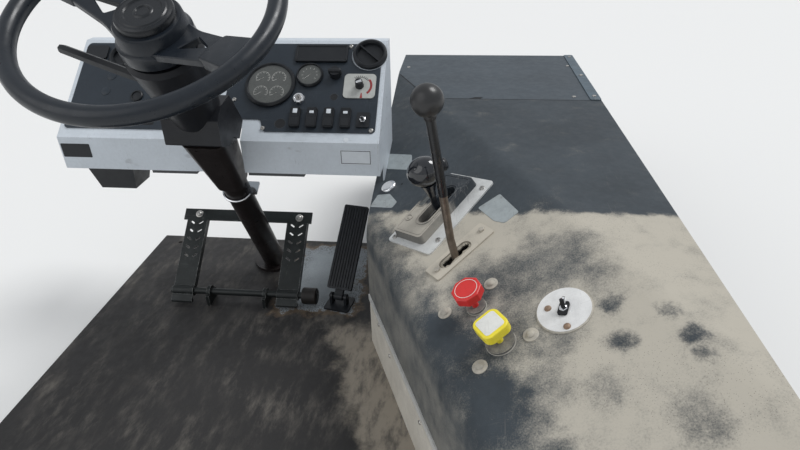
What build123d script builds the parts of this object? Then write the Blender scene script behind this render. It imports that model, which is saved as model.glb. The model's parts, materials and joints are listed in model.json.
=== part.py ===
"""Driver's control station of a terminal tractor.

A side console with its lever, shift selector and air valve knobs, the dash with its
instruments, the steering column and wheel, and the two foot controls on their floor plate.

X is to the driver's right, Y is forward and Z is up.  The origin is on the floor plate's
underside, X = 0 is beside the steering column and Y = 0 is the dash fascia.
Sizes are in millimetres and angles in degrees.
"""
from build123d import *
from math import cos, radians, sin, tan
import os

os.makedirs("parts", exist_ok=True)

# Floor plate: its left and rear edges lie a margin outside the bolts
console_left = 289
floor_t = 6
floor_front = 330
floor_bolt_r = 5.5
floor_bolt_span_x = 560
floor_bolt_span_y = 740
floor_bolt_margin_x = 58.5
floor_bolt_margin_y = 35
floor_left = console_left - floor_bolt_span_x - 2 * floor_bolt_margin_x
floor_rear = floor_front - floor_bolt_span_y - 2 * floor_bolt_margin_y

# Console body
console_right = 807
console_front = 795
console_rear = -760
console_height = 429
face_rise = 129
corner_y = -78
flank_turn = 23
face_slope = 26.6
shoulder_r = 45
fold_r = 60
mat_t = 6
sheet_t = 4
seam_y = 345
trim_z = 128
trim_w = 14
trim_t = 2.5
tear_x = 504
tear_w = 34
tear_d = 13
side_panel_start = 30
corner_strip_w = 26
corner_strip_t = 2.5
corner_strip_r = 5
overcut = 9

# Shift selector, placed on the sloping face
selector_u = 136
selector_v = -95
selector_turn = 25.5
bezel_l = 190
bezel_w = 117
bezel_t = 3
housing_l = 164
housing_w = 78
housing_h = 16
housing_shift = 10
housing_draft = 9
selector_slot_l = 96
selector_slot_w = 26
selector_pivot_z = -45
stem_r = 6
knob_x = -7
knob_y = -28
knob_z = 109
knob_long = 30
knob_short = 26
button_r = 6
button_l = 34

# Boom lever, placed on the sloping face
gate_u = 120.5
gate_v = -222
gate_turn = 14
gate_l = 126
gate_w = 40
gate_t = 3
gate_slot_l = 66
gate_slot_w = 24
gate_slot_x = -10
boom_pivot_x = -25
boom_pivot_z = -60
boom_lean = 12.6
boom_bend_z = 34
boom_rod_r = 6.5
ball_r = 23
ball_x = 49
ball_y = -46
ball_z = 277

# Pivot brackets below the face
pin_r = 5
pin_gap = 0.05
lever_hub_r = 11
lever_hub_w = 20
cheek_t = 4
cheek_l = 34
cheek_below = 14
cheek_gap = 2.5
bracket_t = 3
bracket_rim = 15
opening_margin = 8

# Air valve knobs
valve_u = 91
red_v = -350
yellow_v = -430
valve_stem_r = 5
valve_knob_z = 28
valve_knob_t = 15
red_across = 43
yellow_across = 41
red_collar_r = 15
yellow_collar_r = 21
collar_t = 5
spigot_r = 8
spigot_below = 6
valve_stem_in = 45
yellow_turn = 8

# Round switch plate and chrome cap
switch_u = 185
switch_v = -441
switch_r = 36.5
switch_t = 3
toggle_l = 22
toggle_w = 13
toggle_h = 15
toggle_r = 3
cap_u = 82
cap_v = 80
cap_r = 17
cap_h = 8

# Dash
dash_left = -368
dash_right = 310
dash_bottom = 374
fascia_h = 70
dash_slope = 39.6
dash_face_l = 246
dash_ledge = 26
dash_t = 3
notch_left = -56
notch_right = 27
notch_rise = 18
notch_depth = 42
end_foot_y = 60
end_foot_z = 250
wall_bolt_r = 4.5
wall_bolt_y = 150
wall_bolt_rise = 76
wall_bolt_span_y = 80
wall_bolt_span_z = 100

# Instrument panels: places are X and the distance up the sloping face
panel_t = 2
panel_bottom = 22
panel_top = 236
panel_corner_r = 9
panel_right_x0 = -20
panel_right_x1 = 300
panel_step_x = 62
panel_step_s = 50
panel_left_x0 = -358
panel_left_x1 = -92
vent_x = 275
vent_s = 209
vent_r = 36
vent_left_x = -270
vent_left_s = 200
vent_left_r = 30
vent_rim_w = 9
vent_rim_h = 10
vane_w = 8
large_gauge_x = 72
large_gauge_s = 131
large_gauge_r = 53
large_gauge_h = 9
small_gauge_x = 153
small_gauge_s = 155
small_gauge_r = 28.5
small_gauge_h = 8
cover_t = 5
display_x = 172
display_s = 209
display_w = 112
display_h = 42
left_blank_x = -330
left_blank_w = 50
left_blank_h = 34
heater_x = 260
heater_s = 131
heater_w = 66
heater_h = 58
heater_plate_t = 2
heater_knob_r = 9
fan_x = 207
fan_s = 158
fan_knob_r = 12
dash_knob_h = 16
key_x = 137
key_s = 98
key_r = 11.5
key_h = 7
rocker_x = 135
rocker_s = 53
rocker_pitch = 34.5
rocker_w = 21
rocker_l = 44
rocker_h = 7
toggle_x = 274
toggle_s = 51
toggle_plate_w = 26
toggle_plate_l = 34
toggle_plate_t = 3
toggle_lean = 4
toggle_reach = 17

# Box and rails under the dash
box_x = -269
box_w = 100
box_l = 80
box_h = 50
rail_left_x0 = -176
rail_left_x1 = -78
rail_right_x0 = 34
rail_right_x1 = 152
rail_l = 22
rail_h = 6

# Steering
wheel_x = -9
wheel_y = -187
wheel_z = 720
column_lean = 29.5
column_side_lean = 0.9
rim_r = 202
rim_tube_r = 15
hub_r = 56
hub_flare = 6
hub_top = -8
hub_band = -34
hub_bottom = -60
spoke_turn = -27
spoke_root_z = -46
spoke_rise = 13
spoke_t = 11
spoke_root_w = 88
spoke_waist_w = 66
spoke_pad_w = 54
spoke_end_w = 68
spoke_waist = 78
spoke_pad_start = 142
spoke_pad_t = 20
spoke_skew = 7
window_start = 74
window_end = 128
window_w = 32
horn_r = 46
horn_top = 6
shaft_r = 11
shaft_in = -130
shroud_top = -67
shroud_end = -236
shroud_top_r = 64
shroud_end_r = 42
cover_half = 53
cover_front = -57
cover_low = -245
cover_wall = 4
cover_lip_l = 24
cover_lip_h = 41
cover_crown_l = 55
cover_crown_h = 48
cover_back_l = 96
cover_back_h = 33
cover_tail_l = 107
cover_tail_h = 48
cover_heel_l = 67
cover_heel_h = 58
cover_arch_l = 51
cover_arch_h = 33
cover_sill_l = 25
cover_sill_h = 28
taper_top = -272
taper_w = 84
taper_end = -432
taper_end_w = 60
taper_corner_r = 16
tube_r = 28
foot_r = 52
foot_t = 8
clamp_h = -470
clamp_wire_r = 3
clamp_leg = 16
clamp_plate_w = 46
clamp_plate_t = 3
clamp_plate_l = 33
stalk_start = (-30, -46, -88)
stalk_end = (-189, 14, -85)
stalk_r = 7.5

# Foot controls
treadle_y = 35
treadle_z = 34
treadle_slope = 40
treadle_l = 213
pad_x_left = -194
pad_x_right = 68
pad_w = 52
pad_t = 4
crossbar_w = 30
pad_lift = 3
pad_flange_t = 4
pad_flange_h = 12
pad_tail_l = 26
pad_lip_r = 5
crossbar_over = 10
treadle_pin_r = 8
treadle_pin_over = 6
treadle_pin_end = 142
knuckle_r = 13
lug_xs = [-128, 12]
lug_t = 8
lug_l = 44
lug_r = 15
roller_x0 = 104
roller_x1 = 140
roller_r = 20
chevron_rows = 5
chevron_pitch = 22
chevron_start = 88
chevron_side = 11
chevron_l = 13
chevron_w = 4
chevron_turn = 35
accel_x = 191
accel_y = 44
accel_z = 30
accel_splay = 10.6
accel_slope = 45
accel_l = 212
accel_w = 62
accel_t = 9
accel_pin_r = 4
accel_start = 16
accel_hub_r = 9
accel_hub_l = 20
accel_lift = 4
accel_base_l = 56
accel_base_t = 5
accel_lug_x = 18
accel_lug_t = 6
rib_count = 9
rib_w = 2.2
rib_d = 3

# Planes and shared solids
turn_cos = cos(radians(flank_turn))
turn_sin = sin(radians(flank_turn))
slope_cos = cos(radians(face_slope))
slope_sin = sin(radians(face_slope))
slope_tan = tan(radians(face_slope))
flank_height = console_height - face_rise
fold_w = face_rise / slope_tan
console_l = console_front - console_rear
profile_plane = Plane(origin=(console_left, corner_y, 0), x_dir=(turn_cos, turn_sin, 0),
                      z_dir=(turn_sin, -turn_cos, 0))
face_plane = Plane(origin=(console_left, corner_y, flank_height),
                   x_dir=(slope_cos * turn_cos, slope_cos * turn_sin, slope_sin),
                   z_dir=(-slope_sin * turn_cos, -slope_sin * turn_sin, slope_cos))


def on_plane(base, x, y, turn=0, lift=0):
    """Plane at (x, y, lift) of a base plane, turned about its normal."""
    return Plane(base.location * Location((x, y, lift), (0, 0, turn)))


def rod(start, end, radius):
    """Round bar between two points, made on its own."""
    run = Vector(*end) - Vector(*start)
    with BuildPart() as bar:
        with BuildSketch(Plane(origin=start, z_dir=run)):
            Circle(radius)
        extrude(amount=run.length)
    return bar.part


def rod_on(plane, start, end, radius):
    """Round bar between two points of a plane's own frame."""
    return rod(plane.from_local_coords(start), plane.from_local_coords(end), radius)


def slab(x0, x1, y0, y1, z0, z1):
    """Block between two corners, made on its own."""
    with BuildPart() as block:
        with Locations(((x0 + x1) / 2, (y0 + y1) / 2, (z0 + z1) / 2)):
            Box(x1 - x0, y1 - y0, z1 - z0)
    return block.part


def console_body(inset):
    """Console outline as one solid, with flank, face and top moved inwards by inset."""
    top = console_height - inset
    drop = inset / slope_cos
    corner = (inset, flank_height + inset * slope_tan - drop)
    fold = ((top - flank_height + drop) / slope_tan, top)
    with BuildPart() as body:
        with BuildSketch(profile_plane):
            with BuildLine():
                skin = FilletPolyline((inset, 0), corner, fold, (console_l, top), (console_l, 0),
                                      radius=[shoulder_r - inset, fold_r - inset, fold_r])
                Line(skin @ 1, skin @ 0)
            make_face()
        extrude(amount=console_l, both=True)
        with BuildSketch():
            with Locations(((console_left + console_right) / 2, (console_front + console_rear) / 2)):
                Rectangle(console_right - console_left, console_l)
        extrude(amount=console_height, mode=Mode.INTERSECT)
    return body.part


console_solid = console_body(0)
mat_inside = console_body(mat_t)
sheet_inside = console_body(mat_t + sheet_t)
under_floor = slab(floor_left, console_right, floor_rear, floor_front, -wheel_z, floor_t)

# Where the fold line meets the seam and the footwell side
seam_fold_x = console_left + (fold_w - (seam_y - corner_y) * turn_sin) / turn_cos
side_fold_y = corner_y + fold_w / turn_sin

with BuildPart() as front_cover:
    with BuildSketch(Plane.XY.offset(console_height - mat_t)):
        with BuildLine():
            Polyline((seam_fold_x, seam_y), (tear_x - tear_w / 2, seam_y), (tear_x, seam_y + tear_d),
                     (tear_x + tear_w / 2, seam_y + tear_d), (tear_x + tear_w / 4, seam_y),
                     (console_right, seam_y), (console_right, console_front),
                     (console_left, console_front), (console_left, side_fold_y), close=True)
        make_face()
    extrude(amount=mat_t)
    add(mat_inside, mode=Mode.SUBTRACT)
    add(console_solid, mode=Mode.INTERSECT)

# Openings in the mat and the sheet below it
selector_plane = on_plane(face_plane, selector_u, selector_v, selector_turn)
gate_plane = on_plane(face_plane, gate_u, gate_v, gate_turn)
valve_planes = {"red": on_plane(face_plane, valve_u, red_v),
                "yellow": on_plane(face_plane, valve_u, yellow_v)}
with BuildPart() as face_openings:
    with BuildSketch(selector_plane):
        Rectangle(selector_slot_l + opening_margin, selector_slot_w + opening_margin)
    with BuildSketch(gate_plane):
        with Locations((gate_slot_x, 0)):
            Rectangle(gate_slot_l + opening_margin, gate_slot_w + opening_margin / 2)
    with BuildSketch(valve_planes["red"]):
        Circle(spigot_r)
    with BuildSketch(valve_planes["yellow"]):
        Circle(spigot_r)
    extrude(amount=2 * (mat_t + sheet_t), both=True)

with BuildPart() as console_mat:
    add(console_solid)
    add(mat_inside, mode=Mode.SUBTRACT)
    add(slab(console_left - overcut, console_right + overcut, console_rear - overcut,
             console_front + overcut, -overcut, trim_z), mode=Mode.SUBTRACT)
    add(front_cover.part, mode=Mode.SUBTRACT)
    add(face_openings.part, mode=Mode.SUBTRACT)

with BuildPart() as console_shell:
    add(mat_inside)
    add(sheet_inside, mode=Mode.SUBTRACT)
    add(face_openings.part, mode=Mode.SUBTRACT)

with BuildPart() as kick_panel:
    add(console_solid)
    add(mat_inside, mode=Mode.SUBTRACT)
    add(slab(console_left - overcut, console_right + overcut, console_rear - overcut,
             console_front + overcut, trim_z, console_height + overcut), mode=Mode.SUBTRACT)

with BuildPart() as trim_strip:
    strip_l = (corner_y - console_rear) / turn_cos
    with BuildSketch(profile_plane):
        with Locations((-trim_t / 2, trim_z)):
            Rectangle(trim_t, trim_w)
    extrude(amount=strip_l)

with BuildPart() as side_panel_left:
    add(slab(console_left, console_left + sheet_t, corner_y - side_panel_start, console_front,
             0, console_height))
    add(sheet_inside, mode=Mode.INTERSECT)

with BuildPart() as side_panel_right:
    add(slab(console_right - sheet_t, console_right, console_rear, console_front, 0, console_height))
    add(sheet_inside, mode=Mode.INTERSECT)

with BuildPart() as end_panels:
    add(slab(console_left, console_right - sheet_t, console_rear, console_rear + sheet_t,
             0, console_height))
    add(slab(console_left + sheet_t, console_right - sheet_t, console_front - sheet_t,
             console_front, 0, console_height))
    add(sheet_inside, mode=Mode.INTERSECT)

# Steel strip that holds the right end of the front cover
with BuildPart() as corner_strip:
    with BuildSketch(Plane.XY.offset(console_height)):
        with Locations((console_right - corner_strip_w / 2, (seam_y + console_front) / 2)):
            Rectangle(corner_strip_w, console_front - seam_y)
    extrude(amount=corner_strip_t)
    fillet(corner_strip.edges().filter_by(Axis.Z), corner_strip_r)

# Floor plate, cut to the console's foot
with BuildPart() as floor_plate:
    add(slab(floor_left, console_right, floor_rear, floor_front, 0, floor_t))
    add(slab(console_left, console_right, corner_y, floor_front, 0, floor_t), mode=Mode.SUBTRACT)
    with BuildSketch(profile_plane):
        with Locations((console_l / 2, 0)):
            Rectangle(console_l, 4 * floor_t)
    extrude(amount=console_l, mode=Mode.SUBTRACT)
    with Locations(((floor_left + console_left) / 2, (floor_rear + floor_front) / 2, floor_t)):
        with GridLocations(floor_bolt_span_x, floor_bolt_span_y, 2, 2):
            Hole(floor_bolt_r)


def pivot_bracket(plane, pivot_x, pivot_z, slot_l, slot_x):
    """Bracket under the face with two cheeks and a cross pin."""
    top = -(mat_t + sheet_t)
    inner = lever_hub_w / 2 + cheek_gap
    with BuildPart() as bracket:
        with BuildSketch(on_plane(plane, 0, 0, 0, top)):
            with Locations((slot_x, 0)):
                Rectangle(slot_l + opening_margin + 2 * bracket_rim, 2 * (inner + cheek_t + bracket_rim))
                Rectangle(slot_l + opening_margin, 2 * inner, mode=Mode.SUBTRACT)
        extrude(amount=-bracket_t)
        for side in (-1, 1):
            with BuildSketch(on_plane(plane, 0, 0, 0, top - bracket_t)):
                with Locations((pivot_x, side * (inner + cheek_t / 2))):
                    Rectangle(cheek_l, cheek_t)
            extrude(amount=-(top - bracket_t - pivot_z) - cheek_below)
    pin_half = inner + cheek_t + bracket_t
    pin = rod_on(plane, (pivot_x, -pin_half, pivot_z), (pivot_x, pin_half, pivot_z), pin_r)
    return bracket.part.fuse(pin)


with BuildPart() as lever_brackets:
    add(pivot_bracket(selector_plane, 0, selector_pivot_z, selector_slot_l, 0))
    add(pivot_bracket(gate_plane, boom_pivot_x, boom_pivot_z, gate_slot_l, gate_slot_x))

# Selector bezel and raised housing
with BuildPart() as selector_bezel:
    with BuildSketch(selector_plane):
        RectangleRounded(bezel_l, bezel_w, 8)
        SlotOverall(selector_slot_l + 4, selector_slot_w + 2, mode=Mode.SUBTRACT)
    extrude(amount=bezel_t)

with BuildPart() as selector_housing:
    with BuildSketch(on_plane(selector_plane, 0, housing_shift, 0, bezel_t)):
        RectangleRounded(housing_l, housing_w, 9)
    extrude(amount=housing_h, taper=housing_draft)
    with BuildSketch(on_plane(selector_plane, 0, 0, 0, bezel_t)):
        SlotOverall(selector_slot_l, selector_slot_w)
    extrude(amount=housing_h, mode=Mode.SUBTRACT)

# Gate plate and torn rubber boot of the boom lever
with BuildPart() as gate_plate:
    with BuildSketch(gate_plane):
        RectangleRounded(gate_l, gate_w, 4)
        with Locations((gate_slot_x, 0)):
            SlotOverall(gate_slot_l, gate_slot_w, mode=Mode.SUBTRACT)
    extrude(amount=gate_t)

with BuildPart() as lever_boot:
    with BuildSketch(on_plane(gate_plane, gate_slot_x, 0, 0, -mat_t)):
        Rectangle(gate_slot_l + opening_margin, gate_slot_w + opening_margin / 2)
        SlotOverall(gate_slot_l + 2, gate_slot_w, mode=Mode.SUBTRACT)
    extrude(amount=mat_t)


def lever_hub(plane, pivot_x, pivot_z):
    """Hub that turns on a bracket's pin."""
    half = lever_hub_w / 2
    hub = rod_on(plane, (pivot_x, -half, pivot_z), (pivot_x, half, pivot_z), lever_hub_r)
    bore = rod_on(plane, (pivot_x, -lever_hub_w, pivot_z), (pivot_x, lever_hub_w, pivot_z),
                  pin_r + pin_gap)
    return hub, bore


# Selector lever: stem, knob and side button
stem_bend = (knob_x / 4, 0, housing_h + bezel_t + 8)
stem_top = (knob_x * 0.85, knob_y * 0.75, knob_z - 24)
with BuildPart() as selector_stem:
    hub, bore = lever_hub(selector_plane, 0, selector_pivot_z)
    add(hub)
    add(rod_on(selector_plane, (0, 0, selector_pivot_z), stem_bend, stem_r))
    with Locations(selector_plane.from_local_coords(stem_bend)):
        Sphere(stem_r)
    add(rod_on(selector_plane, stem_bend, stem_top, stem_r))
    add(bore, mode=Mode.SUBTRACT)

knob_plane = on_plane(selector_plane, knob_x, knob_y, -selector_turn - flank_turn, knob_z)
with BuildPart() as knob_ball:
    with BuildSketch(Plane(origin=knob_plane.origin, x_dir=knob_plane.x_dir, z_dir=knob_plane.y_dir)):
        with BuildLine():
            EllipticalCenterArc((0, 0), knob_long, knob_short, start_angle=0, arc_size=180)
            Line((-knob_long, 0), (knob_long, 0))
        make_face()
    revolve(axis=Axis(knob_plane.origin, knob_plane.x_dir))

with BuildPart() as selector_knob:
    add(knob_ball.part)
    add(selector_stem.part, mode=Mode.SUBTRACT)

with BuildPart() as selector_button:
    with BuildSketch(Plane(origin=knob_plane.origin, z_dir=knob_plane.x_dir)):
        Circle(button_r)
    extrude(amount=button_l)
    add(selector_knob.part, mode=Mode.SUBTRACT)
    add(selector_stem.part, mode=Mode.SUBTRACT)

# Boom lever: bent rod and ball
boom_bend = (boom_pivot_x + (boom_bend_z - boom_pivot_z) * tan(radians(boom_lean)), 0, boom_bend_z)
with BuildPart() as boom_rod:
    hub, bore = lever_hub(gate_plane, boom_pivot_x, boom_pivot_z)
    add(hub)
    add(rod_on(gate_plane, (boom_pivot_x, 0, boom_pivot_z), boom_bend, boom_rod_r))
    with Locations(gate_plane.from_local_coords(boom_bend)):
        Sphere(boom_rod_r)
    add(rod_on(gate_plane, boom_bend, (ball_x, ball_y, ball_z), boom_rod_r))
    add(bore, mode=Mode.SUBTRACT)

with BuildPart() as boom_ball:
    with Locations(gate_plane.from_local_coords((ball_x, ball_y, ball_z))):
        Sphere(ball_r)
    add(boom_rod.part, mode=Mode.SUBTRACT)


def valve_collar(plane, radius):
    """Flanged bush that a valve stem slides through."""
    with BuildPart() as collar:
        with BuildSketch(plane):
            Circle(radius)
        extrude(amount=collar_t)
        with BuildSketch(plane):
            Circle(spigot_r)
        extrude(amount=-(mat_t + sheet_t + spigot_below))
        with BuildSketch(on_plane(plane, 0, 0, 0, collar_t)):
            Circle(valve_stem_r + pin_gap)
        extrude(amount=-(collar_t + valve_stem_in), mode=Mode.SUBTRACT)
    return collar.part


def valve_stem(plane):
    """Round stem under a valve knob."""
    return rod_on(plane, (0, 0, -valve_stem_in), (0, 0, valve_knob_z), valve_stem_r)


with BuildPart() as valve_collars:
    add(valve_collar(valve_planes["red"], red_collar_r))
    add(valve_collar(valve_planes["yellow"], yellow_collar_r))

with BuildPart() as red_stem:
    add(valve_stem(valve_planes["red"]))

with BuildPart() as yellow_stem:
    add(valve_stem(valve_planes["yellow"]))

with BuildPart() as red_knob:
    with BuildSketch(on_plane(valve_planes["red"], 0, 0, 22.5, valve_knob_z)):
        RegularPolygon(red_across / 2, 8, major_radius=False)
    extrude(amount=valve_knob_t)
    fillet(red_knob.edges().filter_by(GeomType.LINE), 2.2)

with BuildPart() as yellow_knob:
    with BuildSketch(on_plane(valve_planes["yellow"], 0, 0, yellow_turn, valve_knob_z)):
        RectangleRounded(yellow_across, yellow_across, 11)
    extrude(amount=valve_knob_t)
    fillet(yellow_knob.faces().sort_by(Axis.Z)[-1].edges(), 2)

# Round switch plate, its toggle and the chrome cap
switch_plane = on_plane(face_plane, switch_u, switch_v)
with BuildPart() as switch_plate:
    with BuildSketch(switch_plane):
        Circle(switch_r)
    extrude(amount=switch_t)

with BuildPart() as switch_toggle:
    with BuildSketch(on_plane(switch_plane, 0, 0, 45, switch_t)):
        RectangleRounded(toggle_l, toggle_w, toggle_r)
    extrude(amount=toggle_r)
    add(rod_on(switch_plane, (0, 0, switch_t + toggle_r / 2), (toggle_r, toggle_r, switch_t + toggle_h),
               toggle_r))

with BuildPart() as chrome_cap:
    with BuildSketch(on_plane(face_plane, cap_u, cap_v)):
        Circle(cap_r)
    extrude(amount=cap_h)
    fillet(chrome_cap.faces().sort_by(Axis.Z)[-1].edges(), 5)

# Dash shell
dash_cos = cos(radians(dash_slope))
dash_sin = sin(radians(dash_slope))
dash_fold_z = dash_bottom + fascia_h
dash_top_z = dash_fold_z + dash_face_l * dash_sin
dash_top_y = dash_face_l * dash_cos
dash_back = dash_top_y + dash_ledge
dash_plane = Plane(origin=(0, 0, dash_fold_z), x_dir=(1, 0, 0), z_dir=(0, -dash_sin, dash_cos))
dash_outline = [(0, dash_bottom), (0, dash_fold_z), (dash_top_y, dash_top_z), (dash_back, dash_top_z),
                (dash_back, dash_bottom)]


def dash_solid(x0, x1):
    """Dash outline as one solid between two places along X."""
    with BuildPart() as body:
        with BuildSketch(Plane.YZ.offset(x0)):
            with BuildLine():
                Polyline(*dash_outline, close=True)
            make_face()
        extrude(amount=x1 - x0)
    return body.part


with BuildPart() as dash_shell:
    add(dash_solid(dash_left + dash_t, dash_right - dash_t))
    ends = dash_shell.faces().filter_by(Axis.X)
    offset(amount=-dash_t, openings=[*ends, dash_shell.faces().sort_by(Axis.Y)[-1],
                                     dash_shell.faces().sort_by(Axis.Z)[0]])
    add(slab(notch_left, notch_right, -overcut, notch_depth, 0, dash_fold_z + notch_rise),
        mode=Mode.SUBTRACT)

with BuildPart() as dash_end_left:
    add(dash_solid(dash_left, dash_left + dash_t))
    with BuildSketch(Plane.YZ.offset(dash_left)):
        with Locations((wall_bolt_y, dash_bottom + wall_bolt_rise)):
            with GridLocations(wall_bolt_span_y, wall_bolt_span_z, 2, 2):
                Circle(wall_bolt_r)
    extrude(amount=dash_t, mode=Mode.SUBTRACT)

with BuildPart() as dash_end_right:
    add(dash_solid(dash_right - dash_t, dash_right))
    add(slab(dash_right - dash_t, dash_right, end_foot_y, dash_back, end_foot_z, dash_bottom))
    add(console_solid, mode=Mode.SUBTRACT)

# Instrument panels
with BuildPart() as panel_right:
    vent_cut_r = vent_r + dash_t
    with BuildSketch(dash_plane):
        with BuildLine():
            FilletPolyline((panel_right_x0, panel_step_s), (panel_step_x, panel_step_s),
                           (panel_step_x + panel_corner_r, panel_bottom), (panel_right_x1, panel_bottom),
                           (panel_right_x1, panel_top), (panel_right_x0, panel_top),
                           radius=panel_corner_r, close=True)
        make_face()
        with Locations((vent_x, vent_s)):
            Circle(vent_cut_r, mode=Mode.SUBTRACT)
            with Locations((vent_cut_r / 2, vent_cut_r / 2)):
                Rectangle(vent_cut_r, vent_cut_r, mode=Mode.SUBTRACT)
    extrude(amount=panel_t)

with BuildPart() as panel_left:
    with BuildSketch(dash_plane):
        with Locations(((panel_left_x0 + panel_left_x1) / 2, (panel_bottom + panel_top) / 2)):
            RectangleRounded(panel_left_x1 - panel_left_x0, panel_top - panel_bottom, panel_corner_r)
        with Locations((vent_left_x, vent_left_s)):
            Circle(vent_left_r, mode=Mode.SUBTRACT)
    extrude(amount=panel_t)
panel_plane = on_plane(dash_plane, 0, 0, 0, panel_t)


def gauge(x, s, radius, depth, ring):
    """Round instrument: raised bezel ring round a sunken dial."""
    plane = on_plane(panel_plane, x, s)
    side = Plane(origin=plane.origin, x_dir=plane.x_dir, z_dir=-plane.y_dir)
    with BuildPart() as body:
        with BuildSketch(side):
            with BuildLine():
                Polyline((0, 0), (radius, 0), (radius, depth * 0.6), (radius - ring * 0.4, depth),
                         (radius - ring * 0.7, depth), (radius - ring, depth * 0.55),
                         (0, depth * 0.55), close=True)
            make_face()
        revolve(axis=Axis(plane.origin, plane.z_dir))
    return body.part


with BuildPart() as large_gauge:
    add(gauge(large_gauge_x, large_gauge_s, large_gauge_r, large_gauge_h, large_gauge_r / 7))

with BuildPart() as small_gauge:
    add(gauge(small_gauge_x, small_gauge_s, small_gauge_r, small_gauge_h, small_gauge_r / 6))


def air_vent(plane, radius):
    """Round air outlet with a barrel, a rim and one vane across it."""
    side = Plane(origin=plane.origin, x_dir=plane.x_dir, z_dir=-plane.y_dir)
    with BuildPart() as body:
        with BuildSketch(side):
            with BuildLine():
                Polyline((radius - vent_rim_w, 0), (radius, 0), (radius, 0.7 * vent_rim_h),
                         (radius - 0.4 * vent_rim_w, vent_rim_h), (radius - 0.7 * vent_rim_w, vent_rim_h),
                         (radius - vent_rim_w, 0.5 * vent_rim_h), close=True)
            make_face()
        revolve(axis=Axis(plane.origin, plane.z_dir))
        with BuildSketch(plane):
            Circle(radius - vent_rim_w / 2)
        extrude(amount=panel_t / 2)
        with BuildSketch(on_plane(plane, 0, 0, -42)):
            Rectangle(2 * radius - vent_rim_w, vane_w / 3)
        extrude(amount=vane_w)
    return body.part


with BuildPart() as air_vents:
    add(air_vent(on_plane(dash_plane, vent_x, vent_s), vent_r))
    add(air_vent(on_plane(dash_plane, vent_left_x, vent_left_s), vent_left_r))


def plate(x, s, width, height, thick, corner):
    """Flat rounded block on the instrument panel."""
    with BuildPart() as body:
        with BuildSketch(on_plane(panel_plane, x, s)):
            RectangleRounded(width, height, corner)
        extrude(amount=thick)
    return body.part


def button(x, s, radius, height, lift=0):
    """Round knob standing on the instrument panel."""
    plane = on_plane(panel_plane, x, s, 0, lift)
    with BuildPart() as body:
        with BuildSketch(plane):
            Circle(radius)
        extrude(amount=height, taper=5)
    return body.part


with BuildPart() as blank_covers:
    add(plate(display_x, display_s, display_w, display_h, cover_t, cover_t))
    add(plate(left_blank_x, display_s, left_blank_w, left_blank_h, cover_t, cover_t))

with BuildPart() as heater_plate:
    add(plate(heater_x, heater_s, heater_w, heater_h, heater_plate_t, panel_corner_r))

with BuildPart() as dash_knobs:
    add(button(heater_x, heater_s, heater_knob_r, dash_knob_h, heater_plate_t))
    add(button(fan_x, fan_s, fan_knob_r, dash_knob_h))

with BuildPart() as key_switch:
    add(button(key_x, key_s, key_r, key_h))

with BuildPart() as rocker_switches:
    for place in range(4):
        add(plate(rocker_x + place * rocker_pitch, rocker_s, rocker_w, rocker_l, rocker_h, rocker_w / 7))

with BuildPart() as toggle_switch:
    add(plate(toggle_x, toggle_s, toggle_plate_w, toggle_plate_l, toggle_plate_t, panel_t))
    add(rod_on(on_plane(panel_plane, toggle_x, toggle_s), (0, 0, toggle_plate_t / 2),
               (0, -toggle_lean, toggle_reach), toggle_r))

# Box and rails under the dash
with BuildPart() as underdash_box:
    with BuildSketch(Plane.XY.offset(dash_bottom)):
        with Locations((box_x, box_l / 2)):
            Rectangle(box_w, box_l)
    extrude(amount=-box_h, taper=12)

with BuildPart() as dash_rails:
    for rail_x0, rail_x1 in ((rail_left_x0, rail_left_x1), (rail_right_x0, rail_right_x1)):
        add(slab(rail_x0, rail_x1, 0, rail_l, dash_bottom - rail_h, dash_bottom))

# Steering column
lean_cos = cos(radians(column_lean))
lean_sin = sin(radians(column_lean))
side_cos = cos(radians(column_side_lean))
side_sin = sin(radians(column_side_lean))
column_up = Vector(lean_cos * side_sin, -lean_sin, lean_cos * side_cos)
column_right = Vector(side_cos, 0, -side_sin)
wheel_centre = Vector(wheel_x, wheel_y, wheel_z)
wheel_plane = Plane(origin=wheel_centre, x_dir=column_right, z_dir=column_up)
column_side = Plane(origin=wheel_centre, x_dir=column_right, z_dir=-wheel_plane.y_dir)
column_axis = Axis(wheel_centre, column_up)


def turned(*outline):
    """Solid of revolution about the column's axis, from (radius, height) points."""
    with BuildPart() as body:
        with BuildSketch(column_side):
            with BuildLine():
                Polyline(*outline, close=True)
            make_face()
        revolve(axis=column_axis)
    return body.part


with BuildPart() as column_shroud:
    add(turned((shaft_r + pin_gap, shroud_top), (shroud_top_r - 6, shroud_top),
               (shroud_top_r, shroud_top - 8), (shroud_end_r + 3, shroud_end + 16),
               (shroud_end_r - 5, shroud_end), (0, shroud_end), (0, shaft_in - pin_gap),
               (shaft_r + pin_gap, shaft_in - pin_gap)))

with BuildPart() as column_taper:
    with BuildSketch(on_plane(wheel_plane, 0, 0, 0, taper_top)):
        RectangleRounded(taper_w, taper_w, taper_corner_r)
    with BuildSketch(on_plane(wheel_plane, 0, 0, 0, taper_end)):
        RectangleRounded(taper_end_w, taper_end_w, taper_corner_r)
    loft()

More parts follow.
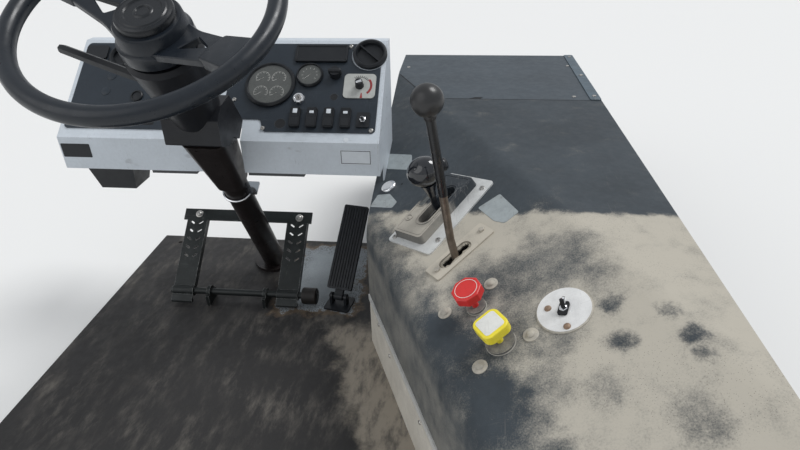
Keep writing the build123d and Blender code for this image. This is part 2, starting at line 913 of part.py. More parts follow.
# Box-shaped lower cover: outline beside the column, as (forward, up) from the wheel's centre
cover_outline = [(cover_front, cover_low), (cover_front + cover_lip_l, cover_low + cover_lip_h),
                 (cover_front + cover_crown_l, cover_low + cover_crown_h),
                 (cover_front + cover_back_l, cover_low + cover_back_h),
                 (cover_front + cover_tail_l, cover_low - cover_tail_h),
                 (cover_front + cover_heel_l, cover_low - cover_heel_h),
                 (cover_front + cover_arch_l, cover_low - cover_arch_h),
                 (cover_front + cover_sill_l, cover_low - cover_sill_h)]
cover_plane = Plane(origin=wheel_centre, x_dir=wheel_plane.y_dir, z_dir=wheel_plane.x_dir)
with BuildPart() as column_cover:
    with BuildSketch(cover_plane):
        with BuildLine():
            FilletPolyline(*cover_outline, radius=cover_wall, close=True)
        make_face()
    extrude(amount=cover_half, both=True)
    add(column_shroud.part, mode=Mode.SUBTRACT)
    add(column_taper.part, mode=Mode.SUBTRACT)

floor_reach = -(wheel_z - floor_t) / (lean_cos * side_cos)
foot_x = wheel_x + floor_reach * column_up.X
foot_y = wheel_y + floor_reach * column_up.Y
with BuildPart() as column_tube:
    add(turned((0, taper_end), (tube_r, taper_end), (tube_r, floor_reach - foot_r),
               (0, floor_reach - foot_r)))
    add(under_floor, mode=Mode.SUBTRACT)
    with BuildSketch(Plane.XY.offset(floor_t)):
        with Locations((foot_x, foot_y)):
            Circle(foot_r)
    extrude(amount=foot_t)

# Bent wire clamp round the column with a plate at its right end
clamp_r = tube_r + clamp_wire_r
with BuildPart() as column_clamp:
    clamp_plane = on_plane(wheel_plane, 0, 0, 0, clamp_h)
    with BuildSketch(Plane(origin=clamp_plane.from_local_coords((-clamp_r, 0, 0)),
                           x_dir=clamp_plane.x_dir, z_dir=clamp_plane.y_dir)):
        Circle(clamp_wire_r)
    revolve(axis=Axis(clamp_plane.origin, clamp_plane.z_dir), revolution_arc=180)
    for side in (-1, 1):
        add(rod_on(clamp_plane, (side * clamp_r, 0, 0), (side * clamp_r, clamp_leg, 0), clamp_wire_r))
    with BuildSketch(on_plane(clamp_plane, clamp_plate_w / 2, clamp_plate_l / 6)):
        RectangleRounded(clamp_plate_w, clamp_plate_l, clamp_plate_t)
    extrude(amount=clamp_plate_t)
    add(column_tube.part, mode=Mode.SUBTRACT)

with BuildPart() as indicator_stalk:
    add(rod_on(wheel_plane, stalk_start, stalk_end, stalk_r))
    add(column_shroud.part, mode=Mode.SUBTRACT)


def wheel_spoke(turn):
    """Sloping web with a window, and a raised pad where it meets the rim."""
    web_plane = Plane(wheel_plane.location * Location((0, 0, spoke_root_z), (0, 0, turn))
                      * Location((0, 0, 0), (0, -spoke_rise, 0)))
    spoke_end = rim_r - rim_tube_r / 3
    waist = spoke_waist_w / 2
    pad = [(spoke_pad_start, spoke_pad_w / 2), (spoke_end, spoke_end_w / 2),
           (spoke_end, -spoke_end_w / 2), (spoke_pad_start - spoke_skew, -spoke_pad_w / 2)]
    with BuildPart() as spoke:
        with BuildSketch(web_plane):
            with BuildLine():
                Polyline((hub_r / 2, spoke_root_w / 2), (spoke_waist, waist - spoke_skew / 2),
                         *pad, (spoke_waist, -waist - spoke_skew / 2), (hub_r / 2, -spoke_root_w / 2),
                         close=True)
            make_face()
            with BuildLine():
                FilletPolyline((window_start, -window_w / 2), (window_start + window_w / 2, window_w / 2),
                               (window_end, 0), radius=spoke_t / 3, close=True)
            make_face(mode=Mode.SUBTRACT)
        extrude(amount=spoke_t / 2, both=True)
        with BuildSketch(on_plane(web_plane, 0, 0, 0, -spoke_pad_t / 2)):
            with BuildLine():
                Polyline(*pad, close=True)
            make_face()
        extrude(amount=spoke_pad_t)
    return spoke.part


# Steering wheel: the rim is turned in two halves that meet square to the spokes
with BuildPart() as steering_wheel:
    add(turned((0, hub_bottom), (hub_r + hub_flare - 4, hub_bottom), (hub_r + hub_flare, hub_bottom + 4),
               (hub_r + hub_flare - 1, hub_band - 4), (hub_r, hub_band), (hub_r - 2, hub_top),
               (0, hub_top)))
    for turn in (spoke_turn, spoke_turn + 180):
        add(wheel_spoke(turn))
    for turn in (spoke_turn + 90, spoke_turn - 90):
        rim_start = on_plane(wheel_plane, 0, 0, turn)
        with BuildSketch(Plane(origin=wheel_centre, x_dir=rim_start.x_dir, z_dir=-rim_start.y_dir)):
            with Locations((rim_r, 0)):
                Circle(rim_tube_r)
        revolve(axis=column_axis, revolution_arc=180)

with BuildPart() as horn_cap:
    add(turned((0, hub_top), (horn_r, hub_top), (horn_r, horn_top - 6), (horn_r - 4, horn_top - 2),
               (0.65 * horn_r, horn_top), (0.6 * horn_r, horn_top - 2), (0.3 * horn_r, horn_top - 2),
               (0.25 * horn_r, horn_top), (0, horn_top)))

with BuildPart() as steering_shaft:
    add(turned((0, shaft_in), (shaft_r, shaft_in), (shaft_r, hub_bottom), (0, hub_bottom)))

# Brake treadle, its floor lugs and pin
with BuildPart() as treadle_lugs:
    for lug_x in lug_xs:
        with BuildSketch(Plane.YZ.offset(lug_x - lug_t / 2)):
            with Locations((treadle_y, (treadle_z + floor_t) / 2)):
                Rectangle(lug_l, treadle_z - floor_t)
            with Locations((treadle_y, treadle_z)):
                Circle(lug_r)
        extrude(amount=lug_t)
    add(under_floor, mode=Mode.SUBTRACT)
    add(rod((pad_x_left - pad_w / 2 - treadle_pin_over, treadle_y, treadle_z),
            (treadle_pin_end, treadle_y, treadle_z), treadle_pin_r))

with BuildPart() as treadle_roller:
    add(rod((roller_x0, treadle_y, treadle_z), (roller_x1, treadle_y, treadle_z), roller_r))
    add(rod((roller_x0 - roller_r, treadle_y, treadle_z), (roller_x1 + roller_r, treadle_y, treadle_z),
            treadle_pin_r), mode=Mode.SUBTRACT)
    fillet(treadle_roller.edges().filter_by(GeomType.CIRCLE).group_by(SortBy.RADIUS)[-1], roller_r / 5)

treadle_plane = Plane(origin=(0, treadle_y, treadle_z), x_dir=(1, 0, 0),
                      z_dir=(0, -sin(radians(treadle_slope)), cos(radians(treadle_slope))))
with BuildPart() as brake_treadle:
    for pad_x in (pad_x_left, pad_x_right):
        with BuildSketch(on_plane(treadle_plane, pad_x, (treadle_l - pad_tail_l) / 2, 0, pad_lift)):
            Rectangle(pad_w, treadle_l + pad_tail_l)
            for side in (-1, 1):
                for row in range(chevron_rows):
                    row_v = chevron_start + row * chevron_pitch - (treadle_l - pad_tail_l) / 2
                    with Locations(Location((side * chevron_side, row_v), side * chevron_turn)):
                        SlotOverall(chevron_l, chevron_w, mode=Mode.SUBTRACT)
        extrude(amount=pad_t)
        for side in (-1, 1):
            flange_x = pad_x + side * (pad_w - pad_flange_t) / 2
            with BuildSketch(on_plane(treadle_plane, flange_x, treadle_l / 2 + pad_flange_t, 0, pad_lift)):
                Rectangle(pad_flange_t, treadle_l - 4 * pad_flange_t)
            extrude(amount=-pad_flange_h)
        add(rod((pad_x - pad_w / 2, treadle_y, treadle_z), (pad_x + pad_w / 2, treadle_y, treadle_z),
                knuckle_r))
        add(rod_on(treadle_plane, (pad_x - pad_w / 2, -pad_tail_l, pad_lift + pad_t - pad_lip_r),
                   (pad_x + pad_w / 2, -pad_tail_l, pad_lift + pad_t - pad_lip_r), pad_lip_r))
    with BuildSketch(on_plane(treadle_plane, (pad_x_left + pad_x_right) / 2, treadle_l - crossbar_w / 2,
                              0, pad_lift)):
        Rectangle(pad_x_right - pad_x_left + pad_w + 2 * crossbar_over, crossbar_w)
    extrude(amount=pad_t)
    add(rod((pad_x_left - pad_w, treadle_y, treadle_z), (pad_x_right + pad_w, treadle_y, treadle_z),
            treadle_pin_r + pin_gap), mode=Mode.SUBTRACT)

# Accelerator pedal and its floor hinge
splay_cos = cos(radians(accel_splay))
splay_sin = sin(radians(accel_splay))
accel_cos = cos(radians(accel_slope))
accel_sin = sin(radians(accel_slope))
accel_base_plane = Plane(origin=(accel_x, accel_y, floor_t), x_dir=(splay_cos, -splay_sin, 0),
                         z_dir=(0, 0, 1))
accel_plane = Plane(origin=(accel_x, accel_y, accel_z), x_dir=(splay_cos, -splay_sin, 0),
                    z_dir=(-splay_sin * accel_sin, -splay_cos * accel_sin, accel_cos))
with BuildPart() as accelerator_pedal:
    with BuildSketch(on_plane(accel_plane, 0, accel_start + accel_l / 2, 0, accel_lift)):
        RectangleRounded(accel_w, accel_l, accel_lift)
    extrude(amount=accel_t)
    with BuildSketch(on_plane(accel_plane, 0, accel_start + accel_l / 2, 0, accel_lift + accel_t)):
        with GridLocations(accel_w / rib_count, 1, rib_count - 1, 1):
            Rectangle(rib_w, accel_l - 2 * accel_lift)
    extrude(amount=-rib_d, mode=Mode.SUBTRACT)
    with BuildSketch(on_plane(accel_plane, 0, accel_start, 0, -accel_lift)):
        Rectangle(accel_hub_l, 2 * accel_start)
    extrude(amount=3 * accel_lift)
    add(rod_on(accel_plane, (-accel_hub_l / 2, 0, 0), (accel_hub_l / 2, 0, 0), accel_hub_r))
    add(rod_on(accel_plane, (-accel_w, 0, 0), (accel_w, 0, 0), accel_pin_r + pin_gap), mode=Mode.SUBTRACT)

with BuildPart() as accelerator_base:
    with BuildSketch(accel_base_plane):
        RectangleRounded(accel_w, accel_base_l, accel_lift)
    extrude(amount=accel_base_t)
    for side in (-1, 1):
        with BuildSketch(on_plane(accel_base_plane, side * accel_lug_x, 0)):
            Rectangle(accel_lug_t, 2 * accel_hub_r)
        extrude(amount=accel_z - floor_t)
        add(rod_on(accel_plane, (side * accel_lug_x - accel_lug_t / 2, 0, 0),
                   (side * accel_lug_x + accel_lug_t / 2, 0, 0), accel_hub_r))
    add(rod_on(accel_plane, (-accel_lug_x - accel_lug_t, 0, 0), (accel_lug_x + accel_lug_t, 0, 0),
               accel_pin_r))

pieces = {
    "floor_plate": floor_plate, "console_shell": console_shell, "console_mat": console_mat,
    "front_cover": front_cover, "kick_panel": kick_panel, "trim_strip": trim_strip,
    "side_panel_left": side_panel_left, "side_panel_right": side_panel_right,
    "end_panels": end_panels, "corner_strip": corner_strip, "lever_brackets": lever_brackets,
    "selector_bezel": selector_bezel, "selector_housing": selector_housing,
    "gate_plate": gate_plate, "lever_boot": lever_boot, "valve_collars": valve_collars,
    "switch_plate": switch_plate, "switch_toggle": switch_toggle, "chrome_cap": chrome_cap,
    "selector_stem": selector_stem, "selector_knob": selector_knob, "selector_button": selector_button,
    "boom_rod": boom_rod, "boom_ball": boom_ball, "red_stem": red_stem, "red_knob": red_knob,
    "yellow_stem": yellow_stem, "yellow_knob": yellow_knob,
    "dash_shell": dash_shell, "dash_end_left": dash_end_left, "dash_end_right": dash_end_right,
    "panel_right": panel_right, "panel_left": panel_left, "large_gauge": large_gauge,
    "small_gauge": small_gauge, "air_vents": air_vents, "blank_covers": blank_covers,
    "heater_plate": heater_plate, "dash_knobs": dash_knobs, "key_switch": key_switch,
    "rocker_switches": rocker_switches, "toggle_switch": toggle_switch,
    "underdash_box": underdash_box, "dash_rails": dash_rails,
    "column_shroud": column_shroud, "column_cover": column_cover, "column_taper": column_taper,
    "column_tube": column_tube, "column_clamp": column_clamp, "indicator_stalk": indicator_stalk,
    "steering_wheel": steering_wheel, "horn_cap": horn_cap, "steering_shaft": steering_shaft,
    "treadle_lugs": treadle_lugs, "treadle_roller": treadle_roller, "brake_treadle": brake_treadle,
    "accelerator_pedal": accelerator_pedal, "accelerator_base": accelerator_base,
}
for name, piece in pieces.items():
    piece.part.label = name
    export_step(piece.part, f"parts/{name}.step")
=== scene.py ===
"""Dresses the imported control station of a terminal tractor.

Shapes are worked out in millimetres in the frame of the surface that carries them, and are
turned into metres in the part's frame when a piece is finished.
"""
from __future__ import annotations

import json
import logging
import math
from dataclasses import dataclass
from enum import Enum
from typing import Iterator, Sequence

import bmesh
import bpy
from mathutils import Matrix, Vector, noise

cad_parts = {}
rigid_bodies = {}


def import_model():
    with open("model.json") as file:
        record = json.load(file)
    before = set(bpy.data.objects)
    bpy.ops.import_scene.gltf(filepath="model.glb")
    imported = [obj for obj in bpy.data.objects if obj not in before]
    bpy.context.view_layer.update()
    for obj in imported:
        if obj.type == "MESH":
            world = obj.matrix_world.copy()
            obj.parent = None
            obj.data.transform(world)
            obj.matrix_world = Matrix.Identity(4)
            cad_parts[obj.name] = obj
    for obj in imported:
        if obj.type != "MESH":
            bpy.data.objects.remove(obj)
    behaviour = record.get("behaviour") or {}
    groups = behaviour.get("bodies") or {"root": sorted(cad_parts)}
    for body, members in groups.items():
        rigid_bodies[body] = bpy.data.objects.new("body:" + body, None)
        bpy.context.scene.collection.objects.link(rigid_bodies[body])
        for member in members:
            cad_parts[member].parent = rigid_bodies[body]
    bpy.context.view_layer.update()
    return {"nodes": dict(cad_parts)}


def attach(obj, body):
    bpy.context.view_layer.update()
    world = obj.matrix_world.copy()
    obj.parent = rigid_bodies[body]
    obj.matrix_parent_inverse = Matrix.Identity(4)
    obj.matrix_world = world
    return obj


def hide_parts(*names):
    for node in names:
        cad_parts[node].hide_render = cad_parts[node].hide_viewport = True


LOG = logging.getLogger("control_station")
MM = 0.001
Point = tuple[float, float]
Place = tuple[float, float, float]
Colour = tuple[float, float, float]
# A point of the console's slanting flank, and the turn of its inward normal from X.
FLANK_FOOT = (289, -78)
FLANK_TURN = 23
# Longest reach of a moved corner, as a multiple of the distance moved.
MITRE = 1.6


@dataclass(frozen=True)
class Spot:
    """A flat place on the part: origin in millimetres, a direction along it and its normal."""

    origin: Place
    along: Place
    normal: Place

    def matrix(self, u: float = 0, v: float = 0, lift: float = 0, turn: float = 0) -> Matrix:
        """Matrix from millimetres at a point of this place to metres in the part's frame.

        Args:
            u: distance along the place's own direction.
            v: distance square to it, in the place.
            lift: height above the place.
            turn: turn about the normal, in degrees.

        Returns:
            The placing matrix.
        """
        normal = Vector(self.normal).normalized()
        along = Vector(self.along).normalized()
        across = normal.cross(along)
        where = Vector(self.origin) + along * u + across * v + normal * lift
        turned = Matrix((along, across, normal)).transposed().to_4x4()
        return (Matrix.Translation(where * MM) @ turned
                @ Matrix.Rotation(math.radians(turn), 4, "Z") @ Matrix.Scale(MM, 4))

    def moved(self, u: float, v: float, lift: float = 0, turn: float = 0) -> Spot:
        """The same place with its origin and direction moved within it."""
        at = self.matrix(u, v, lift, turn)
        return Spot(tuple(at.translation / MM), tuple(at.col[0][:3]), self.normal)


FACE_NORMAL = (-0.412164, -0.174953, 0.894154)
FACE = Spot((*FLANK_FOOT, 300), (0.823073, 0.349374, 0.447759), FACE_NORMAL)
SELECTOR = Spot((438.057, -117.933, 360.895), (0.57468, 0.711627, 0.404141), FACE_NORMAL)
GATE = Spot((474.923, -240.253, 353.955), (0.704098, 0.561686, 0.434459), FACE_NORMAL)
PANEL = Spot((0, -1.275, 445.541), (1, 0, 0), (0, -0.637424, 0.770513))
FASCIA = Spot((0, 0, 444), (1, 0, 0), (0, -1, 0))
WHEEL = Spot((-9, -187, 720), (0.999877, 0, -0.015707), (0.013671, -0.492424, 0.870249))
TREADLE = Spot((0, 35, 34), (1, 0, 0), (0, -0.642788, 0.766044))
FLANK = Spot((*FLANK_FOOT, 0), (0.390731, -0.920505, 0), (-0.920505, -0.390731, 0))
TOP = Spot((0, 0, 429), (1, 0, 0), (0, 0, 1))
FOLD = Spot((339, 463, 427.3), (-0.3907, 0.9205, 0), (-0.2118, -0.0899, 0.9732))


class Grain(Enum):
    """Surface textures that a finish can have."""

    SMOOTH = "smooth"
    LEATHER = "leather"
    PEEL = "peel"
    BRUSHED = "brushed"
    CAST = "cast"


@dataclass(frozen=True)
class Texture:
    """Relief of a surface: its kind, and its size and depth in millimetres."""

    grain: Grain = Grain.PEEL
    size: float = 1.2
    depth: float = 0.05


@dataclass(frozen=True)
class Mottle:
    """Slow change of tone: how much, and its size in millimetres."""

    amount: float = 0.12
    size: float = 60


@dataclass(frozen=True)
class Dust:
    """Settled dust: how much, its patches' size in millimetres, its colour and its soft edge."""

    amount: float = 0.0
    size: float = 90
    colour: Colour = (0.40, 0.335, 0.26)
    soft: float = 0.16


@dataclass(frozen=True)
class Wear:
    """Rubbed edges: how much, the colour that shows and the width in millimetres."""

    amount: float = 0.0
    colour: Colour = (0.36, 0.35, 0.34)
    width: float = 1.6


@dataclass(frozen=True)
class Scratches:
    """Fine scratches: how much and their colour."""

    amount: float = 0.0
    colour: Colour = (0.45, 0.44, 0.42)


@dataclass(frozen=True)
class Finish:
    """One painted, moulded or bare surface and what has happened to it.

    The slot names one of the record's material slots.
    """

    name: str
    colour: Colour
    roughness: float = 0.5
    metallic: float = 0.0
    texture: Texture = Texture()
    mottle: Mottle = Mottle()
    dust: Dust = Dust()
    wear: Wear = Wear()
    scratches: Scratches = Scratches()
    coat: float = 0.0
    specular: float = 0.5
    slot: str = ""


@dataclass(frozen=True)
class CoveringFinish(Finish):
    """A covering with dust at its rear up to a cast shadow's line, the dust partly painted sunlight
    and thinner ahead as painted shade, rubbed along the shoulder and stained in places.
    """

    # The next four fields lay a painted shadow line: behind it the dust is full, as painted
    # sunlight, and ahead of it only a share is left, as painted shade.
    shaded_dust_share: float = 0.36
    shadow_line_y: float = -226
    shadow_line_corner: Point = (357, -72)
    shadow_line_slope: float = -0.56
    rubbed_from: float = 16
    rubbed_to: float = 60
    rubbed_start: float = -260
    rubbed_widen: float = 0.12
    rubbed_share: float = 0.60
    flank_top: float = 275
    flank_fade: float = 45
    flank_share: float = 0.83
    nick: Colour = (0.014, 0.016, 0.02)
    stains: tuple[tuple[float, float, float, float, float], ...] = ()


@dataclass(frozen=True)
class FloorFinish(Finish):
    """Floor paint that is left only in a patch beside the treadle, on a grimy floor."""

    patch: tuple[float, float, float, float] = (40, 232, 12, 300)
    grime: Colour = (0.024, 0.023, 0.023)
    scuff: Colour = (0.115, 0.105, 0.092)
    pale_dust: Colour = (0.34, 0.30, 0.245)
    rust: Colour = (0.16, 0.115, 0.075)


@dataclass(frozen=True)
class Value:
    """What a socket puts out.  Arithmetic on it adds Math nodes."""

    sheet: Sheet
    socket: bpy.types.NodeSocket

    def __add__(self, other: object) -> Value:
        """Sum with a value or a number."""
        return self.sheet.math("ADD", self, other)

    def __sub__(self, other: object) -> Value:
        """Difference from a value or a number."""
        return self.sheet.math("SUBTRACT", self, other)

    def __rsub__(self, other: object) -> Value:
        """What a number is more than this value."""
        return self.sheet.math("SUBTRACT", other, self)

    def __mul__(self, other: object) -> Value:
        """Product with a value or a number."""
        return self.sheet.math("MULTIPLY", self, other)


class Sheet:
    """A node tree with short calls for adding, feeding and joining nodes."""

    def __init__(self, tree: bpy.types.NodeTree) -> None:
        """Takes the tree that the nodes go in."""
        self.tree = tree

    @classmethod
    def group(cls, name: str, inputs: str, outputs: str,
              kind: str = "ShaderNodeTree") -> tuple[Sheet, dict[str, Value]]:
        """Starts a node group.

        Args:
            name: the group's name.
            inputs: names of its inputs, each with a colon and its type unless it is a Float.
            outputs: names of its outputs, written in the same way.
            kind: type of its tree.

        Returns:
            The group's sheet and the value of each input.
        """
        sheet = cls(bpy.data.node_groups.new(name, kind))
        for labels, way in ((inputs, "INPUT"), (outputs, "OUTPUT")):
            for item in labels.split():
                label, _, socket = item.partition(":")
                sheet.tree.interface.new_socket(label, in_out=way,
                                                socket_type="NodeSocket" + (socket or "Float"))
        given = sheet.node("NodeGroupInput")
        return sheet, {socket.name: Value(sheet, socket) for socket in given.outputs}

    def close(self, **outputs: object) -> bpy.types.NodeTree:
        """Feeds the group's outputs and gives its tree."""
        self.node("NodeGroupOutput", **outputs)
        return self.tree

    def node(self, kind: str, settings: dict[str, object] | None = None,
             **feeds: object) -> bpy.types.Node:
        """Adds a node.

        Args:
            kind: the node's type.
            settings: its own properties.
            feeds: input name, with _ for a space, and what it gets.

        Returns:
            The node.
        """
        made = self.tree.nodes.new(kind)
        for name, value in (settings or {}).items():
            setattr(made, name, value)
        for label, value in feeds.items():
            self.join(value, made.inputs[label.replace("_", " ")])
        return made

    def join(self, value: object, socket: bpy.types.NodeSocket) -> None:
        """Feeds a socket from a value, from a node's first output or with a constant."""
        if isinstance(value, bpy.types.Node):
            value = self.value(value)
        if isinstance(value, Value):
            self.tree.links.new(value.socket, socket)
        else:
            socket.default_value = value

    def value(self, node: bpy.types.Node, label: int | str = 0) -> Value:
        """What one of a node's outputs puts out."""
        return Value(self, node.outputs[label])

    def fed(self, kind: str, settings: dict[str, object],
            values: Sequence[object]) -> bpy.types.Node:
        """Adds a node and feeds its inputs in their order."""
        made = self.node(kind, settings)
        for socket, value in zip(made.inputs, values):
            self.join(value, socket)
        return made

    def math(self, kind: str, *values: object, clamp: bool = False) -> Value:
        """Result of a Math node."""
        settings = {"operation": kind, "use_clamp": clamp}
        return self.value(self.fed("ShaderNodeMath", settings, values))

    def vector(self, kind: str, *values: object) -> bpy.types.Node:
        """Vector Math node."""
        return self.fed("ShaderNodeVectorMath", {"operation": kind}, values)

    def ramp(self, value: object, low: object, high: object, out_low: float = 0.0,
             out_high: float = 1.0) -> Value:
        """Value eased from one range to another and held at its ends."""
        return self.value(self.fed("ShaderNodeMapRange", {"interpolation_type": "SMOOTHSTEP"},
                                   (value, low, high, out_low, out_high)))

    def mix(self, share: object, first: object, second: object) -> Value:
        """Mix of two colours."""
        made = self.node("ShaderNodeMix", {"data_type": "RGBA"}, Factor=share)
        self.join(first, made.inputs[6])
        self.join(second, made.inputs[7])
        return self.value(made, 2)

    def cloud(self, where: object, scale: object, detail: float = 4.0,
              rough: float = 0.55) -> Value:
        """Noise value at a place."""
        return self.value(self.node("ShaderNodeTexNoise", Vector=where, Scale=scale, Detail=detail,
                                    Roughness=rough))

    def stretched(self, where: object, scale: Place, turn: Place = (0, 0, 0)) -> Value:
        """Place scaled and turned by a Mapping node."""
        return self.value(self.node("ShaderNodeMapping", Vector=where, Scale=scale, Rotation=turn))

    def axes(self, where: object) -> list[Value]:
        """X, Y and Z of a vector."""
        split = self.node("ShaderNodeSeparateXYZ", Vector=where)
        return [self.value(split, axis) for axis in "XYZ"]


class EffectGroups:
    """The shader node groups that several finishes share."""

    @staticmethod
    def mottled_tone() -> bpy.types.NodeTree:
        """Slow and fine change of tone over a surface."""
        s, given = Sheet.group("mottled_tone", "Where:Vector Color:Color Scale Amount",
                               "Color:Color")
        where, scale = given["Where"], given["Scale"]
        blend = s.cloud(where, scale) * 0.65 + s.cloud(where, scale * 14.0, 6.0) * 0.35
        shift = s.ramp(blend, 0.3, 0.7, -1.0, 1.0) * given["Amount"]
        return s.close(Color=s.node("ShaderNodeHueSaturation", Value=shift + 1.0,
                                    Color=given["Color"]))

    @staticmethod
    def settled_dust() -> bpy.types.NodeTree:
        """Dust in ragged patches, thicker where the surface looks up."""
        s, given = Sheet.group("settled_dust",
                               "Where:Vector Color:Color Dust:Color Scale Amount Softness",
                               "Color:Color Mask")
        where, scale = given["Where"], given["Scale"]
        normal = s.value(s.node("ShaderNodeNewGeometry"), "Normal")
        upness = s.ramp(s.axes(normal)[2], -0.2, 0.9, 0.3, 1.0)
        patchy = (s.cloud(where, scale, 8.0, 0.62) * 0.66
                  + s.cloud(where, scale * 25.0, 3.0, 0.7) * 0.34)
        edge = 0.78 - given["Amount"] * 0.5
        cover = s.ramp(patchy, edge, edge + given["Softness"])
        mask = s.math("MULTIPLY", cover * upness, 0.92, clamp=True)
        return s.close(Color=s.mix(mask, given["Color"], given["Dust"]), Mask=mask)

    @staticmethod
    def rubbed_edges() -> bpy.types.NodeTree:
        """Mask of edges and corners that have been rubbed, broken up by noise."""
        s, given = Sheet.group("rubbed_edges", "Where:Vector Width Amount", "Mask")
        rounded_off = s.node("ShaderNodeBevel", {"samples": 4}, Radius=given["Width"])
        plain = s.value(s.node("ShaderNodeNewGeometry"), "Normal")
        bend = s.ramp(s.value(s.vector("DOT_PRODUCT", rounded_off, plain), "Value"), 0.985, 0.80)
        broken = s.ramp(s.cloud(given["Where"], 130.0, 6.0, 0.7), 0.36, 0.62)
        return s.close(Mask=s.math("MULTIPLY", bend * broken, given["Amount"], clamp=True))

    @staticmethod
    def fine_scratches() -> bpy.types.NodeTree:
        """Mask of thin scratches that run two ways."""
        s, given = Sheet.group("fine_scratches", "Where:Vector Amount", "Mask")
        where = given["Where"]
        ways = (((26, 900, 60), (0.3, 0.5, 0.35)), ((700, 30, 90), (0.4, 0.2, -0.5)))
        lines = [s.ramp(s.cloud(s.stretched(where, scale, turn), 1.0, 2.0, 0.4), 0.64, 0.72)
                 for scale, turn in ways]
        gate = s.ramp(s.cloud(where, 16.0, 3.0), 0.45, 0.65)
        return s.close(Mask=s.math("MULTIPLY", s.math("MAXIMUM", *lines) * gate, given["Amount"],
                                   clamp=True))

    @staticmethod
    def surface_grain() -> bpy.types.NodeTree:
        """Height of the surface texture: cells, peel or brushed lines, mixed by their shares."""
        s, given = Sheet.group("surface_grain", "Where:Vector Scale Cells Lines", "Height")
        where, scale = given["Where"], given["Scale"]
        cells = s.value(s.node("ShaderNodeTexVoronoi", {"feature": "SMOOTH_F1"}, Vector=where,
                               Scale=scale, Smoothness=0.4), "Distance")
        lines = s.cloud(s.stretched(where, (1.0, 40.0, 40.0)), scale * 0.05, 4.0, 0.6)
        peel = s.cloud(where, scale, 3.0, 0.5)
        return s.close(Height=cells * given["Cells"] + lines * given["Lines"] + peel * 0.5)


